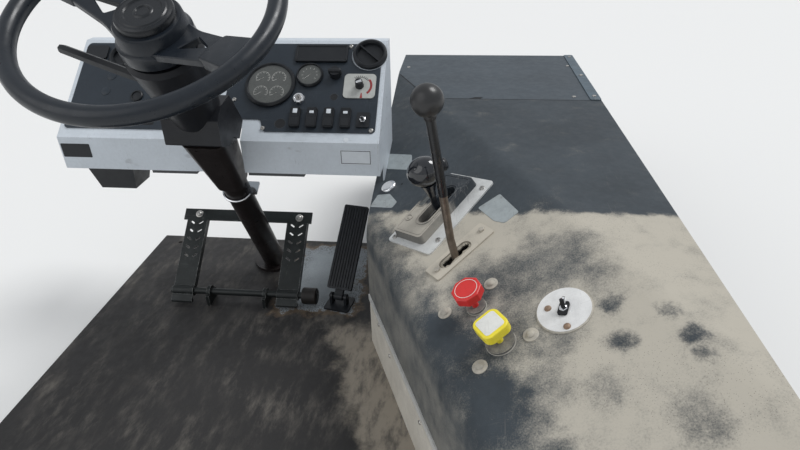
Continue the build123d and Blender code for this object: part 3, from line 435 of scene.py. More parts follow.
class FinishShop:
    """Makes each finish's material once and hands it out by finish."""

    ROUGH_SPREAD = 0.07
    DUST_ROUGH = 0.35
    BUMP = 0.6
    SHARES = {Grain.PEEL: (0.0, 0.0), Grain.LEATHER: (1.0, 0.0), Grain.BRUSHED: (0.0, 1.0),
              Grain.CAST: (0.5, 0.0)}

    def __init__(self) -> None:
        """Builds the shared effects."""
        self.made: dict[str, bpy.types.Material] = {}
        self.effects = {group.name: group for group in (
            EffectGroups.mottled_tone(), EffectGroups.settled_dust(), EffectGroups.rubbed_edges(),
            EffectGroups.fine_scratches(), EffectGroups.surface_grain())}

    def effect(self, sheet: Sheet, name: str, where: Value, **values: object) -> bpy.types.Node:
        """Places a shared effect in a material and feeds it."""
        return sheet.node("ShaderNodeGroup", {"node_tree": self.effects[name]}, Where=where,
                          **values)

    def material(self, finish: Finish) -> bpy.types.Material:
        """Gives the material of a finish.

        Args:
            finish: what the surface is and what has happened to it.

        Returns:
            The material, made on the first call.
        """
        if finish.name in self.made:
            return self.made[finish.name]
        made = bpy.data.materials.new(finish.name)
        made.use_nodes = True
        made.node_tree.nodes.clear()
        s = Sheet(made.node_tree)
        where = s.value(s.node("ShaderNodeTexCoord"), "Object")
        colour: object = self.effect(s, "mottled_tone", where, Color=(*finish.colour, 1),
                                     Scale=1000 / finish.mottle.size, Amount=finish.mottle.amount)
        spread = s.ramp(s.cloud(where, 55.0), 0.3, 0.7, -self.ROUGH_SPREAD, self.ROUGH_SPREAD)
        rough = spread + finish.roughness
        metal: object = finish.metallic
        if finish.scratches.amount:
            mask = self.effect(s, "fine_scratches", where, Amount=finish.scratches.amount)
            colour = s.mix(mask, colour, (*finish.scratches.colour, 1))
        if finish.wear.amount:
            mask = self.effect(s, "rubbed_edges", where, Width=finish.wear.width * MM,
                               Amount=finish.wear.amount)
            colour = s.mix(mask, colour, (*finish.wear.colour, 1))
        if finish.dust.amount:
            dust = self.effect(s, "settled_dust", where, Color=colour,
                               Dust=(*finish.dust.colour, 1), Scale=1000 / finish.dust.size,
                               Amount=self.dust_amount(s, where, finish), Softness=finish.dust.soft)
            colour, mask = s.value(dust, "Color"), s.value(dust, "Mask")
            rough = s.math("ADD", rough, mask * self.DUST_ROUGH, clamp=True)
            if finish.metallic:
                metal = (1.0 - mask) * finish.metallic
        if isinstance(finish, CoveringFinish):
            colour = self.nicked(s, where, colour, finish)
        elif isinstance(finish, FloorFinish):
            colour = self.grimy(s, where, colour, finish)
        shader = s.node("ShaderNodeBsdfPrincipled", Base_Color=colour, Roughness=rough,
                        Metallic=metal, Coat_Weight=finish.coat, Specular_IOR_Level=finish.specular)
        if finish.texture.grain is not Grain.SMOOTH:
            cells, lines = self.SHARES[finish.texture.grain]
            height = self.effect(s, "surface_grain", where, Scale=1000 / finish.texture.size,
                                 Cells=cells, Lines=lines)
            s.join(s.node("ShaderNodeBump", Strength=self.BUMP, Height=height,
                          Distance=finish.texture.depth * MM), shader.inputs["Normal"])
        s.node("ShaderNodeOutputMaterial", Surface=shader)
        self.made[finish.name] = made
        return made

    @staticmethod
    def ragged(s: Sheet, where: Value, value: Value, reach: float, scale: float = 16.0) -> Value:
        """Value with its contours broken up by noise of a given reach."""
        return s.ramp(s.cloud(where, scale, 8.0, 0.65), 0.2, 0.8, -reach, reach) + value

    @staticmethod
    def inwards(x: Value, y: Value) -> Value:
        """Distance from the console's slanting flank, in metres."""
        turn = math.radians(FLANK_TURN)
        return ((x - FLANK_FOOT[0] * MM) * math.cos(turn)
                + (y - FLANK_FOOT[1] * MM) * math.sin(turn))

    def dust_amount(self, s: Sheet, where: Value, finish: Finish) -> object:
        """How dusty the finish is at each point; on a covering, painted sunlight and shade from a
        cast shadow's line are part of it.
        """
        if not isinstance(finish, CoveringFinish):
            return finish.dust.amount
        x, y, z = s.axes(where)
        # Full dust behind a cast shadow's line and a smaller share ahead of it: painted sunlight
        # and painted shade.
        corner_x, corner_y = (v * MM for v in finish.shadow_line_corner)
        edge = s.math("MAXIMUM", finish.shadow_line_y * MM, (x - corner_x) * finish.shadow_line_slope + corner_y)
        rear = s.ramp(self.ragged(s, where, y - edge, 0.009, 30.0), -0.016, 0.010, 1.0,
                      finish.shaded_dust_share)
        nearer = s.math("MAXIMUM", 0.0, finish.rubbed_start * MM - y)
        inside = self.inwards(x, y) - nearer * finish.rubbed_widen
        rubbed = s.ramp(self.ragged(s, where, inside, 0.020), finish.rubbed_from * MM,
                        finish.rubbed_to * MM, finish.rubbed_share, 1.0)
        low = s.ramp(z, finish.flank_top * MM, (finish.flank_top - finish.flank_fade) * MM,
                     finish.rubbed_share, finish.flank_share)
        amount = rear * s.math("MAXIMUM", rubbed, low) * finish.dust.amount
        return amount * self.unstained(s, where, finish) if finish.stains else amount

    @staticmethod
    def unstained(s: Sheet, where: Value, finish: CoveringFinish, wander: float = 0.022) -> Value:
        """Share of the dust that the dark smudges leave."""
        drift = s.value(s.node("ShaderNodeTexNoise", Vector=where, Scale=34.0, Detail=9.0,
                               Roughness=0.7), "Color")
        moved = s.vector("ADD", where,
                         s.vector("MULTIPLY_ADD", drift, (2 * wander,) * 3, (-wander,) * 3))
        stained: object = 0.0
        for x, y, z, radius, depth in finish.stains:
            gap = s.value(s.vector("DISTANCE", moved, (x * MM, y * MM, z * MM)), "Value")
            stained = s.math("MAXIMUM", stained,
                             s.ramp(gap, radius * 0.30 * MM, radius * 1.35 * MM, depth, 0.0))
        return 1.0 - stained

    @staticmethod
    def nicked(s: Sheet, where: Value, colour: object, finish: CoveringFinish) -> Value:
        """Colour with small nicks in some areas."""
        cells = s.node("ShaderNodeTexVoronoi",
                       Vector=s.stretched(where, (55, 130, 55), (0, 0, 0.5)))
        nicks = (s.ramp(s.value(cells, "Distance"), 0.16, 0.10)
                 * s.ramp(s.cloud(where, 5.0, 2.0), 0.50, 0.60))
        return s.mix(nicks, colour, (*finish.nick, 1))

    def grimy(self, s: Sheet, where: Value, colour: object, finish: FloorFinish) -> Value:
        """Floor colour: grime with scuffs, pale dust beside the console and the patch of paint."""
        x, y, _ = s.axes(where)
        low_x, high_x, low_y, high_y = (v * MM for v in finish.patch)
        inside = s.math("MINIMUM", s.math("MINIMUM", x - low_x, high_x - x),
                        s.math("MINIMUM", y - low_y, high_y - y))
        depth = self.ragged(s, where, inside, 0.022, 26.0)
        speck = s.ramp(s.cloud(where, 300.0, 3.0, 0.8), 0.50, 0.57)
        painted = s.ramp(depth, -0.003, 0.003) * (1.0 - speck * s.ramp(depth, 0.055, 0.0))
        scuffs = s.ramp(s.cloud(s.stretched(where, (26, 9, 1), (0, 0, -0.75)), 1.0, 9.0, 0.74),
                        0.44, 0.74)
        blotch = s.ramp(s.cloud(where, 9.0, 6.0), 0.35, 0.68)
        grime = s.mix(s.math("MULTIPLY", scuffs, blotch + 0.25, clamp=True), (*finish.grime, 1),
                      (*finish.scuff, 1))
        wall = self.ragged(s, where, self.inwards(x, y), 0.03, 20.0)
        beside = s.ramp(wall, -0.115, -0.06) * s.ramp(self.ragged(s, where, y, 0.03), 0.0, -0.06)
        lines = s.ramp(s.cloud(s.stretched(where, (44, 17, 1), (0, 0, -0.4)), 1.0, 7.0, 0.7),
                       0.42, 0.70)
        dusty = s.mix(lines, (*finish.pale_dust, 1), (*finish.scuff, 1))
        grime = s.mix(beside * 0.9, grime, dusty)
        rim = s.ramp(depth, -0.020, -0.002) * s.ramp(depth, 0.012, 0.0)
        return s.mix(painted, s.mix(rim * 0.7, grime, (*finish.rust, 1)), colour)


SMOOTH = Texture(Grain.SMOOTH)
STAINS = ((616, -326, 402, 62, 0.36), (560, -344, 379, 70, 0.40), (655, -372, 412, 40, 0.14),
          (545, -410, 360, 62, 0.32), (590, -292, 396, 40, 0.20), (590, -455, 368, 48, 0.30),
          (505, -330, 352, 70, 0.34), (668, -487, 395, 19, 0.42), (742, -505, 421, 17, 0.42),
          (724, -462, 424, 16, 0.42), (745, -532, 417, 14, 0.38), (670, -430, 405, 16, 0.38),
          (640, -545, 372, 30, 0.22), (478, -400, 327, 66, 0.32), (580, -520, 348, 52, 0.28),
          (505, -480, 322, 76, 0.32), (720, -600, 400, 34, 0.24), (520, -555, 318, 60, 0.24))
# The dust colour is raised to the brightness of dust in sunlight, so it is partly painted sunlight.
COVERING = CoveringFinish(
    "covering", (0.043, 0.053, 0.062), 0.62, texture=Texture(Grain.LEATHER, 1.5, 0.1),
    mottle=Mottle(0.16, 120), dust=Dust(1.32, 55, (0.5, 0.465, 0.395), 0.42),
    scratches=Scratches(0.25, (0.16, 0.155, 0.15)), specular=0.3, stains=STAINS)
# Same dust colour as the covering, partly painted sunlight.
FRONT_COVERING = CoveringFinish(
    "front_covering", (0.05, 0.064, 0.077), 0.56, texture=Texture(Grain.LEATHER, 1.5, 0.1),
    mottle=Mottle(0.12, 150), dust=Dust(0.7, 140, (0.5, 0.465, 0.395)), specular=0.4)
SEAM = Finish(
    "seam_gap", (0.007, 0.008, 0.01), 0.8, texture=SMOOTH, mottle=Mottle(0.1),
    dust=Dust(0.15, 12, (0.1, 0.1, 0.09)), slot="black_rubber")
# Paint and dust colours raised towards how the flank looks in sunlight: painted sunlight on a face
# that the lamps leave in shade.
KICK_PAINT_SUNLIT = Finish(
    "kick_paint_sunlit", (0.56, 0.54, 0.49), 0.6, mottle=Mottle(0.2, 70),
    dust=Dust(0.95, 60, (0.6, 0.54, 0.44)), wear=Wear(0.7), scratches=Scratches(0.5))
TRIM = Finish(
    "bare_trim", (0.7, 0.7, 0.68), 0.4, 0.35, texture=Texture(Grain.BRUSHED, 2.0, 0.03),
    dust=Dust(0.3, 30), scratches=Scratches(0.4))
CORNER_STEEL = Finish(
    "corner_steel", (0.075, 0.105, 0.13), 0.5, 0.1, texture=Texture(Grain.CAST, 2.5, 0.05),
    mottle=Mottle(0.25, 25), dust=Dust(0.3), scratches=Scratches(0.5))
SHELL_STEEL = Finish(
    "shell_steel", (0.045, 0.048, 0.052), 0.5, mottle=Mottle(0.18), dust=Dust(0.35), wear=Wear(0.5))
BRACKET_STEEL = Finish(
    "bracket_steel", (0.3, 0.29, 0.28), 0.45, 0.9, texture=Texture(Grain.BRUSHED, 2.0, 0.03),
    mottle=Mottle(0.25, 20), dust=Dust(0.3), slot="worn_steel")
BEZEL = Finish(
    "bezel_aluminium", (0.66, 0.67, 0.66), 0.42, 0.3, texture=Texture(Grain.BRUSHED, 1.5, 0.02),
    mottle=Mottle(0.12, 24), dust=Dust(0.3), wear=Wear(0.4, (0.8, 0.8, 0.79)),
    scratches=Scratches(0.55, (0.22, 0.22, 0.22)))
GATE_STEEL = Finish(
    "gate_steel", (0.44, 0.41, 0.35), 0.6, 0.2, texture=Texture(Grain.CAST, 2.0, 0.04),
    mottle=Mottle(0.2, 22), dust=Dust(0.95, 40, (0.52, 0.48, 0.405)),
    wear=Wear(0.7, (0.22, 0.2, 0.17)), scratches=Scratches(0.35))
# Like the covering, its dust is full behind a cast shadow's line and thinner ahead of it: painted
# sunlight and painted shade on the housing's dust.
HOUSING = CoveringFinish(
    "housing_plastic", (0.027, 0.034, 0.041), 0.46, texture=Texture(Grain.CAST, 0.9, 0.04),
    dust=Dust(1.2, 40, (0.44, 0.41, 0.355), 0.4), wear=Wear(0.5, (0.16, 0.16, 0.16)),
    scratches=Scratches(0.3), specular=0.4, shaded_dust_share=0.3, shadow_line_y=-205, rubbed_share=1.0,
    flank_share=1.0, slot="black_plastic")
BOOT_RUBBER = Finish(
    "boot_rubber", (0.045, 0.041, 0.036), 0.75, texture=Texture(Grain.CAST, 1.2, 0.15),
    dust=Dust(0.95, 14, (0.4, 0.365, 0.3)), slot="black_rubber")
WORN_ROD = Finish(
    "worn_rod", (0.2, 0.165, 0.135), 0.42, 0.8, texture=Texture(Grain.BRUSHED, 2.0, 0.04),
    mottle=Mottle(0.35, 14), dust=Dust(0.35, 14), scratches=Scratches(0.6, (0.55, 0.5, 0.44)))
ROD_SLEEVE = Finish(
    "rod_sleeve", (0.009, 0.01, 0.012), 0.3, texture=Texture(Grain.BRUSHED, 3.0, 0.12),
    scratches=Scratches(0.7, (0.2, 0.15, 0.11)), slot="black_plastic")
BALL = Finish(
    "ball_plastic", (0.02, 0.02, 0.021), 0.36, texture=Texture(Grain.CAST, 0.7, 0.02),
    dust=Dust(0.3, 25, (0.16, 0.14, 0.12)), slot="gloss_black")
KNOB_GLOSS = Finish(
    "knob_gloss", (0.01, 0.012, 0.016), 0.16, texture=Texture(Grain.PEEL, 6, 0.05),
    mottle=Mottle(0.1), dust=Dust(0.12), scratches=Scratches(0.2, (0.12, 0.12, 0.12)), coat=0.6,
    slot="gloss_black")
RED = Finish(
    "red_plastic", (0.62, 0.032, 0.03), 0.36, texture=Texture(Grain.PEEL, 3, 0.03),
    mottle=Mottle(0.1, 16), dust=Dust(0.22, 30, (0.45, 0.2, 0.14)),
    wear=Wear(0.6, (0.72, 0.2, 0.15), 1.0), slot="red_plastic")
YELLOW = Finish(
    "yellow_plastic", (0.83, 0.7, 0.045), 0.36, texture=Texture(Grain.PEEL, 3, 0.03),
    mottle=Mottle(0.08, 16), dust=Dust(0.25, 28, (0.5, 0.4, 0.16)),
    wear=Wear(0.5, (0.88, 0.8, 0.3), 1.0), slot="yellow_plastic")
KNOB_FACE = Finish(
    "knob_face", (0.74, 0.74, 0.7), 0.42, mottle=Mottle(0.06, 10), dust=Dust(0.25, 18),
    scratches=Scratches(0.4, (0.45, 0.43, 0.4)))
COLLAR = Finish(
    "collar_plastic", (0.1, 0.1, 0.1), 0.5, texture=Texture(Grain.CAST, 1.5, 0.05),
    dust=Dust(0.8, 20, (0.33, 0.31, 0.265), 0.3), wear=Wear(0.9, (0.55, 0.52, 0.45), 1.5))
COLLAR_RING = Finish(
    "collar_ring", (0.42, 0.4, 0.35), 0.55, texture=Texture(Grain.CAST, 1.5, 0.04),
    mottle=Mottle(0.2, 12), dust=Dust(0.6, 14, (0.55, 0.52, 0.44)), slot="gloss_black")
CHROME = Finish(
    "chrome", (0.8, 0.81, 0.83), 0.14, 1.0, texture=Texture(Grain.PEEL, 8.0, 0.01),
    mottle=Mottle(0.06, 12), dust=Dust(0.15), scratches=Scratches(0.25, (0.3, 0.3, 0.3)),
    slot="chrome")
SWITCH_ALLOY = Finish(
    "switch_alloy", (0.78, 0.78, 0.77), 0.4, 0.25, texture=Texture(Grain.BRUSHED, 1.5, 0.02),
    mottle=Mottle(0.1, 18), dust=Dust(0.3, 25), scratches=Scratches(0.35, (0.35, 0.33, 0.3)))
# White dash paint given the dimmer, bluer tone that it has in skylit shade: painted shade.
DASH_PAINT_SKYLIT = Finish(
    "dash_paint", (0.56, 0.61, 0.66), 0.4, texture=Texture(Grain.PEEL, 2.5, 0.05),
    mottle=Mottle(0.07, 90), dust=Dust(0.22, 45, (0.28, 0.3, 0.32)),
    wear=Wear(0.45, (0.2, 0.17, 0.14)), scratches=Scratches(0.35, (0.16, 0.16, 0.17)))
PANEL_PAINT = Finish(
    "panel_paint", (0.021, 0.029, 0.039), 0.42, texture=Texture(Grain.CAST, 0.8, 0.04),
    mottle=Mottle(0.14, 80), dust=Dust(0.25, 60, (0.055, 0.066, 0.078)),
    wear=Wear(0.6, (0.1, 0.095, 0.09)), scratches=Scratches(0.2, (0.11, 0.13, 0.15)), specular=0.32,
    slot="panel")
BLACK_PLASTIC = Finish(
    "black_plastic", (0.01, 0.012, 0.015), 0.4, texture=Texture(Grain.CAST, 0.7, 0.03),
    dust=Dust(0.2, 40, (0.05, 0.053, 0.055)), wear=Wear(0.3, (0.05, 0.05, 0.05)), specular=0.36,
    slot="black_plastic")
SHROUD_PLASTIC = Finish(
    "shroud_plastic", (0.011, 0.012, 0.015), 0.4, texture=Texture(Grain.CAST, 0.9, 0.05),
    mottle=Mottle(0.2, 70), dust=Dust(0.25, 60, (0.045, 0.04, 0.036)),
    wear=Wear(0.5, (0.07, 0.07, 0.07)), specular=0.32)
WHEEL_RIM = Finish(
    "wheel_rim", (0.01, 0.014, 0.02), 0.33, texture=Texture(Grain.LEATHER, 0.8, 0.02),
    mottle=Mottle(0.14, 90), dust=Dust(0.1, 90, (0.04, 0.045, 0.05)),
    scratches=Scratches(0.12, (0.06, 0.06, 0.06)), specular=0.42, slot="black_plastic")
CAP_PLASTIC = Finish(
    "cap_plastic", (0.01, 0.012, 0.015), 0.3, texture=Texture(Grain.PEEL, 4, 0.02),
    mottle=Mottle(0.1), dust=Dust(0.2, 25, (0.04, 0.04, 0.04)), specular=0.4, slot="gloss_black")
COLUMN_PAINT = Finish(
    "column_paint", (0.014, 0.011, 0.011), 0.34, texture=Texture(Grain.PEEL, 3.0, 0.06),
    mottle=Mottle(0.25), dust=Dust(0.22, 50, (0.06, 0.048, 0.04)),
    wear=Wear(0.6, (0.12, 0.1, 0.09)), scratches=Scratches(0.35, (0.1, 0.09, 0.085)), specular=0.4)
DIAL = Finish(
    "dial_face", (0.075, 0.08, 0.076), 0.3, texture=SMOOTH, mottle=Mottle(0.1, 20),
    dust=Dust(0.3, 30, (0.13, 0.13, 0.12)), coat=0.4, slot="gauge")
DIAL_MARKS = Finish(
    "dial_marks", (0.6, 0.6, 0.57), 0.5, texture=SMOOTH, mottle=Mottle(0.05), slot="gauge")
GREY_PLATE = Finish(
    "grey_plate", (0.42, 0.43, 0.41), 0.5, mottle=Mottle(0.08, 14),
    dust=Dust(0.25, 14, (0.22, 0.22, 0.2)))
RED_MARK = Finish(
    "red_mark", (0.3, 0.035, 0.035), 0.5, texture=SMOOTH, mottle=Mottle(0.1), slot="red_plastic")
# Near-black for printed marks, and on flat discs and slots it is painted shade that stands for the
# inside of holes, slots and the pinhole.
HOLE = Finish(
    "hole_dark", (0.006, 0.007, 0.009), 0.8, texture=SMOOTH, mottle=Mottle(0.1),
    slot="black_plastic")
SCREW = Finish(
    "screw_steel", (0.45, 0.44, 0.42), 0.36, 0.95, texture=Texture(Grain.CAST, 1.0, 0.02),
    mottle=Mottle(0.2, 6), dust=Dust(0.4, 9), slot="worn_steel")
DUSTY_SCREW = Finish(
    "dusty_screw", (0.4, 0.375, 0.325), 0.55, 0.2, texture=Texture(Grain.CAST, 1.0, 0.03),
    mottle=Mottle(0.2, 7), dust=Dust(0.7, 12, (0.48, 0.445, 0.375)),
    wear=Wear(0.6, (0.62, 0.6, 0.55)))
RUST_SCREW = Finish(
    "rusty_rivet", (0.27, 0.185, 0.13), 0.6, 0.4, texture=Texture(Grain.CAST, 0.8, 0.05),
    mottle=Mottle(0.3, 4), dust=Dust(0.5, 6, (0.42, 0.36, 0.28)))
LABEL = Finish(
    "blank_label", (0.31, 0.345, 0.355), 0.44, mottle=Mottle(0.12, 16),
    dust=Dust(0.5, 10, (0.2, 0.2, 0.19)), scratches=Scratches(0.5, (0.2, 0.2, 0.2)),
    slot="bare_trim")
WHITE_LABEL = Finish(
    "white_label", (0.62, 0.66, 0.7), 0.45, mottle=Mottle(0.05, 20), slot="dash_paint")
PEDAL_STEEL = Finish(
    "pedal_steel", (0.017, 0.02, 0.02), 0.4, 0.3, texture=Texture(Grain.CAST, 1.5, 0.05),
    mottle=Mottle(0.25, 30), dust=Dust(0.3, 45, (0.06, 0.056, 0.048)),
    wear=Wear(1.0, (0.42, 0.43, 0.42), 1.4), scratches=Scratches(0.4, (0.16, 0.16, 0.155)),
    specular=0.4)
PEDAL_RUBBER = Finish(
    "pedal_rubber", (0.012, 0.014, 0.017), 0.55, texture=Texture(Grain.CAST, 1.0, 0.05),
    mottle=Mottle(0.15), dust=Dust(0.22, 40, (0.045, 0.045, 0.045)),
    wear=Wear(0.5, (0.08, 0.08, 0.08)), specular=0.35)
ROLLER_RUBBER = Finish(
    "roller_rubber", (0.013, 0.011, 0.01), 0.5, texture=Texture(Grain.CAST, 1.2, 0.08),
    dust=Dust(0.3, 90, (0.07, 0.055, 0.04)), specular=0.35)
FLOOR_PAINT = FloorFinish(
    "floor_paint", (0.27, 0.3, 0.32), 0.55, texture=Texture(Grain.CAST, 3.0, 0.12),
    mottle=Mottle(0.12, 80), dust=Dust(0.2, 60, (0.2, 0.19, 0.17)),
    scratches=Scratches(0.4, (0.14, 0.14, 0.14)), specular=0.35)


def outline_box(width: float, height: float, radius: float = 0, steps: int = 6,
                centre: Point = (0, 0)) -> list[Point]:
    """Points round a rectangle with rounded corners, anticlockwise."""
    points: list[Point] = []
    radius = max(radius, 0.01)
    for side_x, side_y, start in ((1, 1, 0), (-1, 1, 90), (-1, -1, 180), (1, -1, 270)):
        cx = centre[0] + side_x * (width / 2 - radius)
        cy = centre[1] + side_y * (height / 2 - radius)
        for step in range(steps + 1):
            angle = math.radians(start + 90 * step / steps)
            points.append((cx + radius * math.cos(angle), cy + radius * math.sin(angle)))
    return points


def outline_round(radius: float, sides: int = 32, start: float = 0) -> list[Point]:
    """Points of a regular outline, anticlockwise."""
    turns = [math.radians(start + 360 * i / sides) for i in range(sides)]
    return [(radius * math.cos(turn), radius * math.sin(turn)) for turn in turns]


def neighbours(outline: Sequence[Point]) -> Iterator[tuple[Vector, Vector, Vector]]:
    """Each point of a closed outline, between the one before and the one after it."""
    count = len(outline)
    for i in range(count):
        yield tuple(Vector(outline[(i + k) % count]) for k in (-1, 0, 1))


def shrunk(outline: Sequence[Point], by: float) -> list[Point]:
    """Outline moved inwards by a distance, or outwards where it is negative."""
    moved: list[Point] = []
    for before, here, after in neighbours(outline):
        first, second = here - before, after - here
        if first.length < 1e-6 or second.length < 1e-6:
            first = second = after - before
        normal = (Vector((-first.y, first.x)).normalized()
                  + Vector((-second.y, second.x)).normalized())
        stretch = min(2 / max(normal.length, 0.5), MITRE)
        moved.append(tuple(here + normal.normalized() * by * stretch))
    return moved


def rounded(corners: Sequence[Point], cut: float, steps: int = 5) -> list[Point]:
    """Outline with each corner cut back and bent round."""
    points: list[Point] = []
    for before, here, after in neighbours(corners):
        start = here + (before - here).normalized() * min(cut, (before - here).length / 2)
        end = here + (after - here).normalized() * min(cut, (after - here).length / 2)
        for step in range(steps + 1):
            share = step / steps
            bend = start * (1 - share) ** 2 + here * 2 * share * (1 - share) + end * share ** 2
            points.append(tuple(bend))
    return points


def seen_from(centre: Point, outline: Sequence[Point], count: int) -> list[Point]:
    """Where evenly turned rays from a centre meet an outline, anticlockwise."""
    found: list[Point] = []
    for i in range(count):
        angle = 2 * math.pi * i / count
        ray = Vector((math.cos(angle), math.sin(angle)))
        best = 0.0
        for a, b in zip(outline, [*outline[1:], outline[0]]):
            start, edge = Vector(a) - Vector(centre), Vector(b) - Vector(a)
            cross = ray.x * edge.y - ray.y * edge.x
            if abs(cross) < 1e-9:
                continue
            reach = (start.x * edge.y - start.y * edge.x) / cross
            share = (start.x * ray.y - start.y * ray.x) / cross
            if -1e-6 <= share <= 1 + 1e-6 and reach > best:
                best = reach
        found.append((centre[0] + ray.x * best, centre[1] + ray.y * best))
    return found


class Form:
    """A mesh under construction, in millimetres in its own frame."""

    POINTED = 0.02
    WELD = 0.002

    def __init__(self) -> None:
        """Starts with nothing."""
        self.mesh = bmesh.new()

    def rings(self, loops: Sequence[Sequence[Place]], closed: bool = False) -> Form:
        """Skins a row of loops that have the same number of points.

        Args:
            loops: the loops, from first to last.
            closed: whether the last loop joins the first, or else both get a face.

        Returns:
            This form.
        """
        rows = [[self.mesh.verts.new(p) for p in loop] for loop in loops]
        for low, high in list(zip(rows, rows[1:])) + ([(rows[-1], rows[0])] if closed else []):
            for i in range(len(low)):
                j = (i + 1) % len(low)
                self.mesh.faces.new((low[i], low[j], high[j], high[i]))
        if not closed:
            self.mesh.faces.new(list(reversed(rows[0])))
            self.mesh.faces.new(rows[-1])
        return self

    def lathe(self, profile: Sequence[Point], steps: int) -> Form:
        """Turns (radius, height) points about the own Z axis; both ends are closed."""
        return self.rings([[(x, y, z) for x, y in outline_round(max(r, self.POINTED), steps)]
                           for r, z in profile])

    def hoop(self, profile: Sequence[Point], steps: int) -> Form:
        """Turns a closed (radius, height) section about the own Z axis into a ring."""
        angles = [2 * math.pi * i / steps for i in range(steps)]
        return self.rings([[(r * math.cos(angle), r * math.sin(angle), z) for r, z in profile]
                           for angle in angles], closed=True)

    def prism(self, outline: Sequence[Point], low: float, high: float, edge: float = 0) -> Form:
        """Block on an outline with its top edge rounded."""
        loops = [[(x, y, low) for x, y in outline]]
        if edge:
            for angle in (0, math.pi / 6, math.pi / 3, math.pi / 2):
                inward, rise = edge * (1 - math.cos(angle)), high - edge + edge * math.sin(angle)
                loops.append([(x, y, rise) for x, y in shrunk(outline, inward)])
        else:
            loops.append([(x, y, high) for x, y in outline])
        return self.rings(loops)

    def frame(self, outer: Sequence[Point], inner: Sequence[Point], low: float, high: float,
              edge: float = 0.3) -> Form:
        """Raised border between two outlines with the same number of points."""
        levels = ((outer, low), (outer, high - edge), (shrunk(outer, edge), high),
                  (shrunk(inner, -edge), high), (inner, high - edge), (inner, low))
        return self.rings([[(x, y, z) for x, y in outline] for outline, z in levels], closed=True)

    def tube(self, path: Sequence[Place], radii: Sequence[float], sides: int = 16,
             start: float = 0) -> Form:
        """Bar along a path with a radius at each point and closed ends."""
        loops = []
        points = [Vector(p) for p in path]
        side = (points[1] - points[0]).normalized().orthogonal().normalized()
        for i, (here, radius) in enumerate(zip(points, radii)):
            ahead = (points[min(i + 1, len(points) - 1)] - points[max(i - 1, 0)]).normalized()
            side = (side - ahead * side.dot(ahead)).normalized()
            up = ahead.cross(side)
            loops.append([here + side * x + up * y for x, y in outline_round(radius, sides, start)])
        return self.rings(loops)

    def take(self, other: Form, at: Matrix) -> Form:
        """Takes in another form, placed by a matrix."""
        other.mesh.transform(at)
        data = bpy.data.meshes.new("form_in_form")
        other.mesh.to_mesh(data)
        other.mesh.free()
        self.mesh.from_mesh(data)
        bpy.data.meshes.remove(data)
        return self

    def data(self, name: str, at: Matrix) -> bpy.types.Mesh:
        """Ends the form as a placed mesh with joined points and faces turned outwards."""
        bmesh.ops.remove_doubles(self.mesh, verts=self.mesh.verts, dist=self.WELD)
        bmesh.ops.recalc_face_normals(self.mesh, faces=self.mesh.faces)
        made = bpy.data.meshes.new(name)
        self.mesh.to_mesh(made)
        self.mesh.free()
        made.transform(at)
        return made


